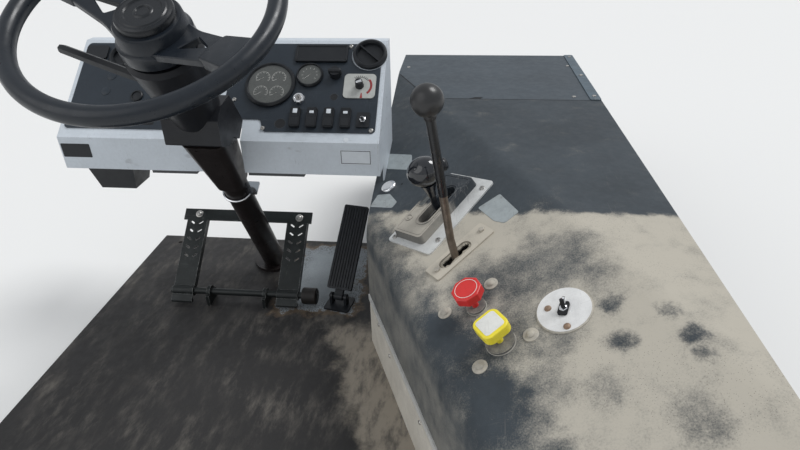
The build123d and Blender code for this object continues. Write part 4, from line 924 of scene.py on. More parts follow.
class Repeater:
    """Geometry Nodes that set out repeats: fasteners on points and ticks on an arc."""

    def __init__(self) -> None:
        """Builds both trees."""
        self.fasteners = self._fasteners()
        self.ticks = self._ticks()

    @staticmethod
    def _end(s: Sheet, finish: Value, placed: bpy.types.Node) -> bpy.types.NodeTree:
        """Closes a tree with Realize Instances and Set Material."""
        real = s.node("GeometryNodeRealizeInstances", Geometry=placed)
        return s.close(Geometry=s.node("GeometryNodeSetMaterial", Geometry=real, Material=finish))

    @classmethod
    def _fasteners(cls) -> bpy.types.NodeTree:
        """Tree that stands a template on each point along the point's facing."""
        s, given = Sheet.group(
            "fasteners_on_points",
            "Geometry:Geometry Template:Object Size Spread Seed:Int Finish:Material",
            "Geometry:Geometry", "GeometryNodeTree")
        template = s.node("GeometryNodeObjectInfo", Object=given["Template"])
        facing = s.node("GeometryNodeInputNamedAttribute", {"data_type": "FLOAT_VECTOR"},
                        Name="facing")
        stand = s.node("FunctionNodeAlignRotationToVector", {"axis": "Z"}, Vector=facing)
        turn = s.node("FunctionNodeRandomValue", {"data_type": "FLOAT"}, Seed=given["Seed"])
        s.join(given["Spread"] * -1.0, turn.inputs[2])
        s.join(given["Spread"], turn.inputs[3])
        spin = s.node("FunctionNodeEulerToRotation",
                      Euler=s.node("ShaderNodeCombineXYZ", Z=s.value(turn, 1)))
        turned = s.node("FunctionNodeRotateRotation", {"rotation_space": "LOCAL"}, Rotation=stand,
                        Rotate_By=spin)
        placed = s.node("GeometryNodeInstanceOnPoints",
                        Points=s.node("GeometryNodeMeshToPoints", Mesh=given["Geometry"]),
                        Instance=s.value(template, "Geometry"), Rotation=turned,
                        Scale=given["Size"])
        return cls._end(s, given["Finish"], placed)

    @classmethod
    def _ticks(cls) -> bpy.types.NodeTree:
        """Tree that sets short bars on an arc, each pointing outwards."""
        s, given = Sheet.group(
            "ticks_on_arc",
            "Geometry:Geometry Count:Int Radius Start Sweep Length Width Height Finish:Material",
            "Geometry:Geometry", "GeometryNodeTree")
        share = s.math("DIVIDE", s.node("GeometryNodeInputIndex"), given["Count"] - 1.0)
        angle = given["Start"] + share * given["Sweep"]
        spot = s.node("ShaderNodeCombineXYZ", X=s.math("COSINE", angle) * given["Radius"],
                      Y=s.math("SINE", angle) * given["Radius"])
        row = s.node("GeometryNodeMeshLine", {"mode": "OFFSET"}, Count=given["Count"])
        bent = s.node("GeometryNodeSetPosition", Geometry=row, Position=spot)
        bar = s.node("GeometryNodeMeshCube", Size=s.node(
            "ShaderNodeCombineXYZ", X=given["Length"], Y=given["Width"], Z=given["Height"]))
        spin = s.node("FunctionNodeEulerToRotation", Euler=s.node("ShaderNodeCombineXYZ", Z=angle))
        placed = s.node("GeometryNodeInstanceOnPoints", Points=bent, Instance=bar, Rotation=spin)
        return cls._end(s, given["Finish"], placed)

    @staticmethod
    def run(tree: bpy.types.NodeTree, start: bpy.types.Mesh, **values: object) -> bpy.types.Mesh:
        """Runs a tree on a mesh.

        Args:
            tree: one of this class's trees.
            start: the mesh that the modifier sits on.
            values: input name and its value.

        Returns:
            The result as a plain mesh.
        """
        holder = bpy.data.objects.new("repeat_holder", start)
        bpy.context.scene.collection.objects.link(holder)
        modifier = holder.modifiers.new("repeat", "NODES")
        modifier.node_group = tree
        sockets = {item.name: item.identifier for item in tree.interface.items_tree
                   if item.item_type == "SOCKET" and item.in_out == "INPUT"}
        for label, value in values.items():
            modifier[sockets[label]] = value
        graph = bpy.context.evaluated_depsgraph_get()
        made = bpy.data.meshes.new_from_object(holder.evaluated_get(graph))
        holder.modifiers.remove(modifier)
        bpy.data.objects.remove(holder)
        return made


@dataclass(frozen=True)
class Arc:
    """Ticks on an arc: placing matrix, count, radius, start and sweep in degrees, bar size."""

    at: Matrix
    count: int
    radius: float
    start: float
    sweep: float
    length: float
    width: float


@dataclass
class Workshop:
    """Makes pieces: it has the frame's nodes, the finishes, the repeats and the fasteners."""

    nodes: dict[str, bpy.types.Object]
    finishes: FinishShop
    repeats: Repeater

    HEADS = {
        "pan": (24, ((1.0, 0), (1.0, 0.18), (0.82, 0.46), (0.45, 0.6), (0.3, 0.6), (0.22, 0.25),
                     (0, 0.22))),
        "hex": (6, ((1.0, 0), (1.0, 0.62), (0.86, 0.74), (0, 0.74))),
        "dome": (24, ((1.0, 0), (0.95, 0.22), (0.72, 0.46), (0.4, 0.58), (0.12, 0.6), (0, 0.6))),
        "washer": (28, ((1.0, 0), (1.0, 0.1), (0.9, 0.16), (0, 0.16))),
    }
    TURN_SPREAD = 3.1

    def __post_init__(self) -> None:
        """Makes the fastener templates, each with a radius of 1 mm."""
        self.heads = {
            name: bpy.data.objects.new(name, Form().lathe(profile, steps).data(
                name, Matrix.Scale(MM, 4)))
            for name, (steps, profile) in self.HEADS.items()}

    def clear_templates(self) -> None:
        """Deletes the templates once every piece is made."""
        for template in self.heads.values():
            bpy.data.objects.remove(template)

    def dress(self, finish: Finish, names: str) -> None:
        """Gives CAD nodes a finish."""
        for name in names.split():
            data = self.nodes[name].data
            data.materials.clear()
            data.materials.append(self.finishes.material(finish))

    @staticmethod
    def settle(name: str, data: bpy.types.Mesh, body: str, slot: str,
               sharp: float = 32) -> bpy.types.Object:
        """Links a mesh as a piece that rides on a body.

        Args:
            name: the piece's name.
            data: its mesh, in the part's frame.
            body: the body that it rides on.
            slot: the record's material slot; not used.
            sharp: angle in degrees above which an edge stays sharp.

        Returns:
            The piece.
        """
        for polygon in data.polygons:
            polygon.use_smooth = True
        data.set_sharp_from_angle(angle=math.radians(sharp))
        made = bpy.data.objects.new(name, data)
        bpy.context.scene.collection.objects.link(made)
        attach(made, body)
        LOG.info("%s: %d faces on %s", name, len(data.polygons), body)
        return made

    def piece(self, name: str, form: Form, at: Matrix, finish: Finish, body: str = "base",
              slot: str = "", sharp: float = 32) -> bpy.types.Object:
        """Finishes a form as a piece in its finish's material."""
        data = form.data(name, at)
        data.materials.append(self.finishes.material(finish))
        return self.settle(name, data, body, slot or finish.slot, sharp)

    def turned(self, name: str, at: Matrix, finish: Finish, steps: int, profile: Sequence[Point],
               **ride: str) -> None:
        """Makes a turned piece."""
        self.piece(name, Form().lathe(profile, steps), at, finish, **ride)

    def block(self, name: str, at: Matrix, finish: Finish, outline: Sequence[Point], low: float,
              high: float, edge: float = 0, **ride: str) -> None:
        """Makes a piece that stands on an outline."""
        self.piece(name, Form().prism(outline, low, high, edge), at, finish, **ride)

    def border(self, name: str, at: Matrix, finish: Finish, outline: Sequence[Point], width: float,
               low: float, high: float, edge: float = 0.3, **ride: str) -> None:
        """Makes a raised border of a given width inside an outline."""
        self.piece(name, Form().frame(outline, shrunk(outline, width), low, high, edge), at, finish,
                   **ride)

    def fasten(self, name: str, head: str, spot: Spot, points: Sequence[Point], size: float,
               finish: Finish, lift: float = 0, body: str = "base") -> None:
        """Stands fasteners on a spot and makes them one piece.

        Args:
            name: the piece's name.
            head: kind of fastener.
            spot: the surface that they stand on.
            points: where each one stands.
            size: radius in millimetres.
            finish: their finish.
            lift: height above the spot.
            body: the body that they ride on.
        """
        data = bpy.data.meshes.new(name + "_points")
        data.from_pydata([spot.matrix(*point, lift).translation for point in points], [], [])
        facing = data.attributes.new("facing", "FLOAT_VECTOR", "POINT")
        for entry in facing.data:
            entry.vector = spot.normal
        made = self.repeats.run(
            self.repeats.fasteners, data, Template=self.heads[head], Size=size,
            Spread=self.TURN_SPREAD, Seed=1, Finish=self.finishes.material(finish))
        self.settle(name, made, body, "worn_steel")

    def scale(self, name: str, arcs: Sequence[Arc], finish: Finish, height: float) -> None:
        """Sets ticks on one or more arcs and makes them one piece."""
        whole = bmesh.new()
        look = self.finishes.material(finish)
        for arc in arcs:
            made = self.repeats.run(
                self.repeats.ticks, bpy.data.meshes.new(name + "_start"), Count=arc.count,
                Radius=arc.radius, Start=math.radians(arc.start), Sweep=math.radians(arc.sweep),
                Length=arc.length, Width=arc.width, Height=height, Finish=look)
            made.transform(arc.at)
            whole.from_mesh(made)
        data = bpy.data.meshes.new(name)
        whole.to_mesh(data)
        whole.free()
        data.materials.clear()
        data.materials.append(look)
        self.settle(name, data, "base", finish.slot)


DRESSING = (
    (COVERING, "console_mat"),
    (FRONT_COVERING, "front_cover"),
    (SHELL_STEEL, "console_shell side_panel_left side_panel_right end_panels dash_rails"),
    (KICK_PAINT_SUNLIT, "kick_panel"),
    (TRIM, "trim_strip"),
    (CORNER_STEEL, "corner_strip"),
    (BRACKET_STEEL, "lever_brackets steering_shaft"),
    (CHROME, "chrome_cap key_switch column_clamp"),
    (BEZEL, "selector_bezel"),
    (HOUSING, "selector_housing"),
    (BLACK_PLASTIC, "selector_stem selector_button large_gauge small_gauge blank_covers air_vents "
                    "toggle_switch underdash_box dash_knobs rocker_switches accelerator_base"),
    (KNOB_GLOSS, "selector_knob"),
    (GATE_STEEL, "gate_plate"),
    (WORN_ROD, "boom_rod"),
    (BALL, "boom_ball"),
    (COLLAR, "valve_collars"),
    (RED, "red_stem red_knob"),
    (YELLOW, "yellow_stem yellow_knob"),
    (SWITCH_ALLOY, "switch_plate"),
    (HOLE, "switch_toggle"),
    (DASH_PAINT_SKYLIT, "dash_shell dash_end_left dash_end_right"),
    (PANEL_PAINT, "panel_left panel_right"),
    (GREY_PLATE, "heater_plate"),
    (SHROUD_PLASTIC, "column_shroud column_cover"),
    (COLUMN_PAINT, "column_taper column_tube"),
    (FLOOR_PAINT, "floor_plate"),
    (PEDAL_STEEL, "brake_treadle treadle_lugs"),
    (ROLLER_RUBBER, "treadle_roller"),
    (PEDAL_RUBBER, "accelerator_pedal"),
)


@dataclass
class Console:
    """The side console: the screws, labels and seams of its covers."""

    shop: Workshop
    screw_r: float = 5.0
    kick_screw_r: float = 4.2
    valve_screw_r: float = 6.5
    washer_r: float = 11.0
    washer_t: float = 1.6
    strip_t: float = 2.5
    label_t: float = 0.6
    seam_w: float = 2.6
    seam_depth: float = 0.3
    seam_rise: float = 0.3
    fold_l: float = 232

    def build(self) -> None:
        """Makes the console's small parts."""
        self.fasteners()
        self.labels()
        self.seams()

    def fasteners(self) -> None:
        """Screws of the front cover, strip and kick panel, and the valves' washers."""
        shop = self.shop
        shop.fasten("cover_screws", "pan", TOP, ((312, 640), (774, 668), (745.6, 371.1)),
                    self.screw_r, SCREW)
        shop.fasten("strip_screws", "pan", TOP, ((794, 372), (794, 560), (794, 768)), self.screw_r,
                    SCREW, self.strip_t)
        shop.fasten("kick_screws", "pan", FLANK,
                    ((72, 108), (150, 92), (330, 104), (520, 100), (690, 102)), self.kick_screw_r,
                    SCREW)
        corners = ((46.7, -324.8), (128.4, -324.7), (129.4, -446.2), (49.7, -446.1))
        shop.fasten("valve_washers", "washer", FACE, corners, self.washer_r, DUSTY_SCREW)
        shop.fasten("valve_screws", "dome", FACE, corners, self.valve_screw_r, DUSTY_SCREW,
                    self.washer_t)

    def labels(self) -> None:
        """Blank worn labels on the face and the pinhole beside the cap."""
        shapes = {
            "label_front": [(100, 155), (142, 93), (163, 149), (122, 214)],
            "label_corner": [(26.3, 55.9), (63.6, 7.0), (78.5, 16.1), (75.5, 57.3), (53.3, 80.0)],
            "label_diamond": [(191.9, -145.6), (197.1, -200.6), (208.4, -220.6), (238.4, -215.7),
                              (238.0, -145.2)],
        }
        for name, corners in shapes.items():
            self.shop.block(name, FACE.matrix(), LABEL, rounded(corners, 4), -0.2, self.label_t)
        # The pinhole is a flat dark disc: painted shade of its inside.
        self.shop.turned("face_pinhole", FACE.matrix(107.7, 65.7), HOLE, 16,
                         [(2.4, -0.2), (2.4, 0.3), (0, 0.3)], slot="black_rubber")

    def seams(self) -> None:
        """Dark gaps along the front cover's edges, with the torn wedge and the fold."""
        half, low, high = self.seam_w / 2, -self.seam_depth, self.seam_rise
        line = [(430, 345), (487, 345), (504, 358), (521, 358), (512.5, 345), (805, 345)]
        for i, (start, end) in enumerate(zip(line, line[1:])):
            run = (Vector(end) - Vector(start)).normalized()
            side = Vector((-run.y, run.x)) * half
            reach = run * half * 0.6
            corners = [Vector(start) - reach + side, Vector(start) - reach - side,
                       Vector(end) + reach - side, Vector(end) + reach + side]
            self.shop.block(f"cover_seam_{i}", TOP.matrix(), SEAM, corners, low, high - 0.02 * i)
        self.shop.block("cover_tear", TOP.matrix(), SEAM,
                        [(487, 345), (512.5, 345), (521, 358), (504, 358)], low, high - 0.12)
        self.shop.block("cover_fold_line", FOLD.matrix(), SEAM,
                        outline_box(self.fold_l, self.seam_w, 1, 2), low, high)


@dataclass
class Selector:
    """The shift selector: its housing's details, the neck and the side button's cap."""

    shop: Workshop
    screw_r: float = 5.2
    bezel_t: float = 3
    housing_top: float = 19
    knob: Place = (-7, -28, 109)
    button_turn: float = -48.5
    neck_low: Place = (-3.3, -7.8, 48.6)
    neck_high: Place = (-6.2, -22.6, 89)
    neck_r: float = 7.6
    neck_wide: float = 18.5

    def build(self) -> None:
        """Makes the selector's details."""
        places = ((73, -46), (-62, -50), (84, 47), (-84, 47))
        self.shop.fasten("bezel_screws", "pan", SELECTOR, places, self.screw_r, SCREW,
                         self.bezel_t)
        self.housing_details()
        self.neck()
        self.button()

    def neck(self) -> None:
        """Neck that widens from the stem into the knob."""
        low, high = Vector(self.neck_low), Vector(self.neck_high)
        shares = [step / 12 for step in range(13)]
        radii = [self.neck_r + (self.neck_wide - self.neck_r) * share ** 1.5 for share in shares]
        form = Form().tube([low + (high - low) * share for share in shares], radii, 36)
        self.shop.piece("selector_neck", form, SELECTOR.matrix(), KNOB_GLOSS, "selector_lever")

    def button(self) -> None:
        """Round cap of the side button."""
        turn = math.radians(self.button_turn)
        along = Vector((math.cos(turn), math.sin(turn), 0))
        ends = ((26, 10.8), (30, 11.6), (36, 11.6), (39.5, 10.8), (42, 8.6), (43, 5.5))
        form = Form().tube([Vector(self.knob) + along * reach for reach, _ in ends],
                           [radius for _, radius in ends], 32)
        self.shop.piece("button_cap", form, SELECTOR.matrix(), CAP_PLASTIC, "selector_lever")

    def housing_details(self) -> None:
        """Window, round cover, track ridge and embossed border on the housing's top."""
        shop = self.shop
        top = SELECTOR.moved(0, 0, self.housing_top)
        window = outline_box(40, 14, 3)
        shop.border("track_ridge", top.matrix(0, 0), HOUSING, outline_box(106, 36, 17, 8), 2.2,
                    -0.5, 1.4, 0.5)
        shop.border("housing_border", top.matrix(0, 10), HOUSING, outline_box(150, 66, 7), 1.6,
                    -0.5, 0.8)
        shop.border("window_frame", top.matrix(6, 34), HOUSING, window, 1.5, -0.5, 1.1)
        shop.block("window_lens", top.matrix(6, 34), DIAL, shrunk(window, 1.4), -0.4, 0.3)
        shop.turned("round_cover", top.matrix(-44.8, 34), HOUSING, 28,
                    [(7.5, -0.4), (7.5, 1.2), (6.4, 1.6), (5.8, 0.6), (4.0, 0.5), (2.2, 2.0),
                     (0, 2.2)])
        shop.turned("housing_dot", top.matrix(-8.2, -22.5), SCREW, 20,
                    [(4.0, -0.4), (4.0, 0.9), (0, 1.0)])


@dataclass
class BoomLever:
    """The boom lever: the gate's screws, the torn boot, and the rod's sleeve and neck."""

    shop: Workshop
    bolt_r: float = 5.5
    plate_t: float = 3
    slot_l: float = 66
    slot_w: float = 24
    slot_x: float = -10
    bend: Place = (-3.99, 0, 34)
    ball: Place = (49, -46, 277)
    ball_r: float = 23
    sleeve_r: float = 7.3

    def build(self) -> None:
        """Makes the lever's details."""
        self.shop.fasten("gate_screws", "hex", GATE, ((-50, 0), (52, 2)), self.bolt_r,
                         DUSTY_SCREW, self.plate_t)
        self.boot()
        self.sleeve()

    def boot(self) -> None:
        """Boot with a ragged tear round the rod."""
        outer: list[Place] = []
        lip: list[Place] = []
        inner: list[Place] = []
        count = 72
        straight, end_r = (self.slot_l - self.slot_w) / 2, self.slot_w / 2
        for i in range(count):
            angle = 2 * math.pi * i / count
            across, up = math.cos(angle), math.sin(angle)
            x = math.copysign(straight, across) * min(abs(across) * 2.2, 1) + across * end_r
            y = up * end_r
            rag = 0.5 + 0.5 * noise.noise(Vector((across * 4, up * 4, 2.7)))
            tear = 0.30 + 0.38 * rag + (0.12 if i % 3 == 0 else 0)
            outer.append((x, y, 0.2))
            lip.append((x * 0.93, y * 0.88, 1.2 + rag))
            inner.append((x * (1 - tear * 0.25), y * (1 - tear), -1.5 + 4.5 * rag))
        low = [(x, y, z - 2.5) for x, y, z in inner]
        edge = [(x, y, z - 2.7) for x, y, z in outer]
        form = Form().rings([edge, outer, lip, inner, low], closed=True)
        made = self.shop.piece("torn_boot", form, GATE.matrix(self.slot_x), BOOT_RUBBER, sharp=60)
        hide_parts("lever_boot")

    def sleeve(self) -> None:
        """Dark sleeve on the upper two thirds of the rod, with its frayed lower end."""
        start, end = Vector(self.bend), Vector(self.ball)
        run = end - start
        path, radii = [], []
        for step in range(25):
            path.append(start + run * (0.36 + 0.60 * step / 24))
            radii.append(self.sleeve_r + 0.25 * noise.noise(Vector((step * 0.8, 1.3, 0)))
                         - (0.5 if step == 0 else 0))
        self.shop.piece("rod_sleeve", Form().tube(path, radii, 20), GATE.matrix(), ROD_SLEEVE,
                        "boom_lever")
        neck = [end - run.normalized() * (self.ball_r + 5 - k * 3) for k in range(4)]
        self.shop.piece("ball_neck", Form().tube(neck, [8.6, 9.4, 9.6, 9.6], 24), GATE.matrix(),
                        BALL, "boom_lever")


@dataclass
class AirValves:
    """The red octagonal and the yellow square valve knobs: their faces, necks and collar rings."""

    shop: Workshop
    u: float = 91
    red_v: float = -350
    yellow_v: float = -430
    knob_z: float = 28
    knob_t: float = 15

    def build(self) -> None:
        """Makes the valves' details."""
        shop = self.shop
        top = self.knob_z + self.knob_t
        shop.border("red_face_ring", FACE.matrix(self.u, self.red_v, top), KNOB_FACE,
                    outline_round(17.2, 48), 0.8, -0.2, 0.35, 0.15, body="red_valve",
                    slot="red_plastic")
        shop.block("yellow_face", FACE.matrix(self.u, self.yellow_v, top, 8), KNOB_FACE,
                   outline_box(31, 31, 5), -0.3, 0.5, 0.25, body="yellow_valve",
                   slot="yellow_plastic")
        for colour, v, finish, radius in (("red", self.red_v, RED, 15.5),
                                          ("yellow", self.yellow_v, YELLOW, 21.5)):
            at = FACE.matrix(self.u, v)
            flare = [(7.2, 20.2), (7.6, 22), (11.5, self.knob_z - 1), (12.5, self.knob_z + 0.5)]
            shop.turned(colour + "_neck", at, finish, 32, flare, body=colour + "_valve")
            ring = [(radius, -0.2), (radius, 1.2), (radius - 1.0, 1.6), (radius - 1.6, -0.2)]
            shop.piece(colour + "_collar_ring", Form().hoop(ring, 64), at, COLLAR_RING)


@dataclass
class RoundSwitch:
    """The round alloy plate's rivets, sealant, nut and toggle."""

    shop: Workshop
    u: float = 185
    v: float = -441
    radius: float = 36.5
    thick: float = 3
    rivet_r: float = 5.0

    def build(self) -> None:
        """Makes the plate's details."""
        shop, r = self.shop, self.radius
        spot = FACE.moved(self.u, self.v, self.thick)
        at = spot.matrix()
        shop.fasten("plate_rivets", "dome", spot, ((-16, 15), (-12, -27)), self.rivet_r,
                    RUST_SCREW)
        bead = [(r + 2.0, -3.0), (r + 1.6, -1.4), (r - 0.4, -0.6), (r - 0.4, -3.0)]
        shop.piece("plate_sealant", Form().hoop(bead, 72), at, DUSTY_SCREW, slot="bare_trim")
        bat = Form().tube([(0, 0, 2), (3, 2, 7), (6, 4, 12), (7.6, 5, 14.5)], [2.6, 2.2, 3.0, 2.0])
        shop.piece("toggle_bat", bat, at, CHROME)
        shop.turned("toggle_nut", at, CHROME, 6,
                    [(6.2, -0.2), (6.2, 3.4), (5.2, 4.2), (3.4, 4.2), (0, 4.2)])


@dataclass
class Dash:
    """The dash's screws, dials, switches, knobs, labels and holes."""

    shop: Workshop
    large: Place = (72, 131, 53)
    small: Place = (153, 155, 28.5)
    screw_r: float = 4.6
    dial_large_z: float = 4.95
    dial_small_z: float = 4.4
    mark_t: float = 0.2
    mark_lift: float = 0.55
    rocker_pitch: float = 34.5
    rocker_x: float = 135
    rocker_s: float = 53

    def build(self) -> None:
        """Makes every instrument's details."""
        self.fasteners()
        self.gauges()
        self.rockers()
        self.heater()
        self.controls()
        self.labels()
        self.left_panel()

    def fasteners(self) -> None:
        """Screws of the right panel and the holes left by missing switches."""
        shop = self.shop
        shop.fasten("panel_screws", "pan", PANEL,
                    ((0, 95.4), (70, 29), (292, 28), (233, 229.5)), self.screw_r, SCREW)
        # Each missing switch's hole is a flat dark disc: painted shade of its inside.
        for name, u, v, r in (("hole_small", 209, 104.7, 7.5), ("hole_large", 104.9, 40.6, 10.5)):
            at = PANEL.matrix(u, v)
            shop.turned(name, at, HOLE, 32, [(r, -0.2), (r, 0.25), (0, 0.25)], slot="black_rubber")
            lip = [(r + 1.8, -0.2), (r + 1.4, 0.35), (r, 0.4), (r, -0.2)]
            shop.piece(name + "_edge", Form().hoop(lip, 40), at, PANEL_PAINT)

    def dial(self, name: str, spot: Spot, radius: float) -> None:
        """Flat dial face inside a bezel."""
        self.shop.turned(name, spot.matrix(), DIAL, 56, [(radius, -0.5), (radius, 0.4), (0, 0.4)])

    def gauges(self) -> None:
        """Dials, scales and needles of the two gauges."""
        shop = self.shop
        big = PANEL.moved(self.large[0], self.large[1], self.dial_large_z)
        self.dial("dial_large", big, self.large[2] * 6 / 7 + 0.3)
        arcs = []
        for centre in ((-17, 15), (17, 15), (-17, -20), (17, -20)):
            place = big.matrix(*centre, self.mark_lift)
            arcs += [Arc(place, 9, 12.5, 210, -240, 3.0, 0.55),
                     Arc(place, 33, 14.6, 210, -240, 0.7, 1.25),
                     Arc(place, 2, 5.5, 215, 0.5, 13, 0.8)]
        shop.scale("large_scales", arcs, DIAL_MARKS, self.mark_t)
        little = PANEL.moved(self.small[0], self.small[1], self.dial_small_z)
        self.dial("dial_small", little, self.small[2] * 5 / 6 + 0.2)
        place = little.matrix(0, 0, self.mark_lift)
        shop.scale("small_scale", [Arc(place, 9, 15.5, 215, -250, 3.2, 0.6),
                                   Arc(place, 2, 5.5, 225, 0.5, 19, 1.0)], DIAL_MARKS, self.mark_t)

    def rockers(self) -> None:
        """Four rocker switches, each a frame with a tilted paddle and a pale square."""
        shop, at = self.shop, PANEL.matrix()
        frames, paddles, squares = Form(), Form(), Form()
        for i in range(4):
            x = self.rocker_x + i * self.rocker_pitch
            outer = outline_box(21, 44, 3, centre=(x, self.rocker_s))
            frames.frame(outer, shrunk(outer, 1.8), 6.6, 8.6, 0.4)
            tip = 3.4 if i % 2 else 2.6
            for side, rise in ((1, tip), (-1, 1.2)):
                low, high = sorted((self.rocker_s, self.rocker_s + side * 19.6))
                section = [(low, 6.8), (high, 6.8), (high, 7.6 + (rise if side > 0 else 0.2)),
                           (low, 7.6 + (0.4 if side > 0 else rise))]
                paddles.rings([[(x + edge, y, z) for y, z in section] for edge in (-8.4, 8.4)])
            squares.prism(outline_box(9, 10, 0.8, 3, (x, self.rocker_s + 12.5)), 8.4, 10.0, 0.2)
        shop.piece("rocker_frames", frames, at, BLACK_PLASTIC)
        shop.piece("rocker_paddles", paddles, at, BLACK_PLASTIC, sharp=20)
        shop.piece("rocker_squares", squares, at, WHITE_LABEL, slot="grey_plastic")

    def heater(self) -> None:
        """Scale, red arc and wedge on the heater plate."""
        shop = self.shop
        plate = PANEL.moved(260, 131, 2)
        place = plate.matrix(0, 0, 0.15)
        shop.scale("heater_arc", [Arc(place, 26, 24, 35, -80, 4.5, 1.9)], RED_MARK, 0.4)
        shop.block("heater_wedge", plate.matrix(5, 0), RED_MARK,
                   [(-2.6, -29), (2.6, -29), (0.8, -17), (-0.8, -17)], -0.2, 0.4)
        shop.scale("heater_scale", [Arc(place, 22, 20.5, 120, -80, 0.8, 1.6),
                                    Arc(place, 9, 23, 120, -80, 3, 0.8)], HOLE, 0.4)

    def controls(self) -> None:
        """Grips of the rotary knobs, the key switch, the toggle and the display's frame."""
        shop = self.shop
        key, toggle = PANEL.moved(137, 98), PANEL.moved(274, 51, 3)
        shop.block("fan_knob_grip", PANEL.matrix(207, 158), BLACK_PLASTIC,
                   outline_box(27, 8.5, 4, 6), 6, 19, 2.0)
        shop.block("heater_knob_grip", PANEL.matrix(260, 131, 0, 20), CHROME,
                   [(-6, -2.2), (6, -3.4), (6, 3.4), (-6, 2.2)], 2, 18.6, 0.8)
        shop.turned("key_ring", key.matrix(0, 0, 0.4), CHROME, 40,
                    [(12.4, -0.2), (12.4, 3.2), (11.0, 5.6), (9.4, 7.6), (7.6, 7.6), (7.2, 5.4),
                     (0, 5.4)])
        shop.turned("key_barrel", key.matrix(), BRACKET_STEEL, 28,
                    [(6.4, 4), (6.4, 7.8), (5.6, 8.4), (0, 8.4)])
        # The key slot is a dark block on the barrel: painted shade of the keyway.
        shop.block("key_slot", key.matrix(0, 0, 0, 20), HOLE, outline_box(1.6, 7, 0.5, 3), 7.8, 8.8)
        shop.turned("dash_toggle_nut", toggle.matrix(), CHROME, 6,
                    [(6.5, -0.2), (6.5, 2.6), (5.4, 3.2), (0, 3.2)])
        bat = Form().tube([(0, 0, 2), (0, -1.8, 8), (0, -3.2, 13.4)], [2.3, 2.8, 3.2])
        shop.piece("dash_toggle_bat", bat, toggle.matrix(), CHROME)
        shop.border("display_frame", PANEL.matrix(172, 209), BLACK_PLASTIC,
                    outline_box(112, 42, 4), 5, 4.6, 6.2, 0.6)

    def labels(self) -> None:
        """Blank labels on the fascia and the dab on the dash."""
        shop = self.shop
        outline = outline_box(63, 31, 1, 2)
        at = FASCIA.matrix(262, -30)
        shop.block("fascia_label", at, WHITE_LABEL, outline, -0.2, 0.3)
        line = Form().frame(shrunk(outline, 1.5), shrunk(outline, 2.6), 0.1, 0.5, 0.1)
        shop.piece("fascia_label_line", line, at, HOLE)
        shop.block("fascia_plate_dark", FASCIA.matrix(-333, -29), BLACK_PLASTIC,
                   outline_box(64, 30, 2, 2), -0.2, 0.4)
        shop.turned("paint_dab", PANEL.matrix(243, 7, -2), WHITE_LABEL, 20,
                    [(5.5, -0.2), (5.0, 0.6), (0, 1.0)])

    def left_panel(self) -> None:
        """Knockouts, lens and slot of the left panel."""
        shop = self.shop
        for name, u, v in (("knockout_upper", -283, 150), ("knockout_lower", -287, 112)):
            shop.turned(name, PANEL.matrix(u, v), PANEL_PAINT, 32,
                        [(10, -0.2), (10, 0.7), (9.2, 1.1), (0, 1.1)])
        shop.turned("left_lens", PANEL.matrix(-214, 100), BLACK_PLASTIC, 40,
                    [(13, -0.2), (13, 3.0), (11.5, 4.2), (10, 4.2), (9.4, 2.4), (0, 3.6)],
                    slot="bezel")
        # The slot is a flat dark patch: painted shade of its inside.
        shop.block("left_slot", PANEL.matrix(-175, 36), HOLE, outline_box(24, 8, 3), -0.2, 0.3)


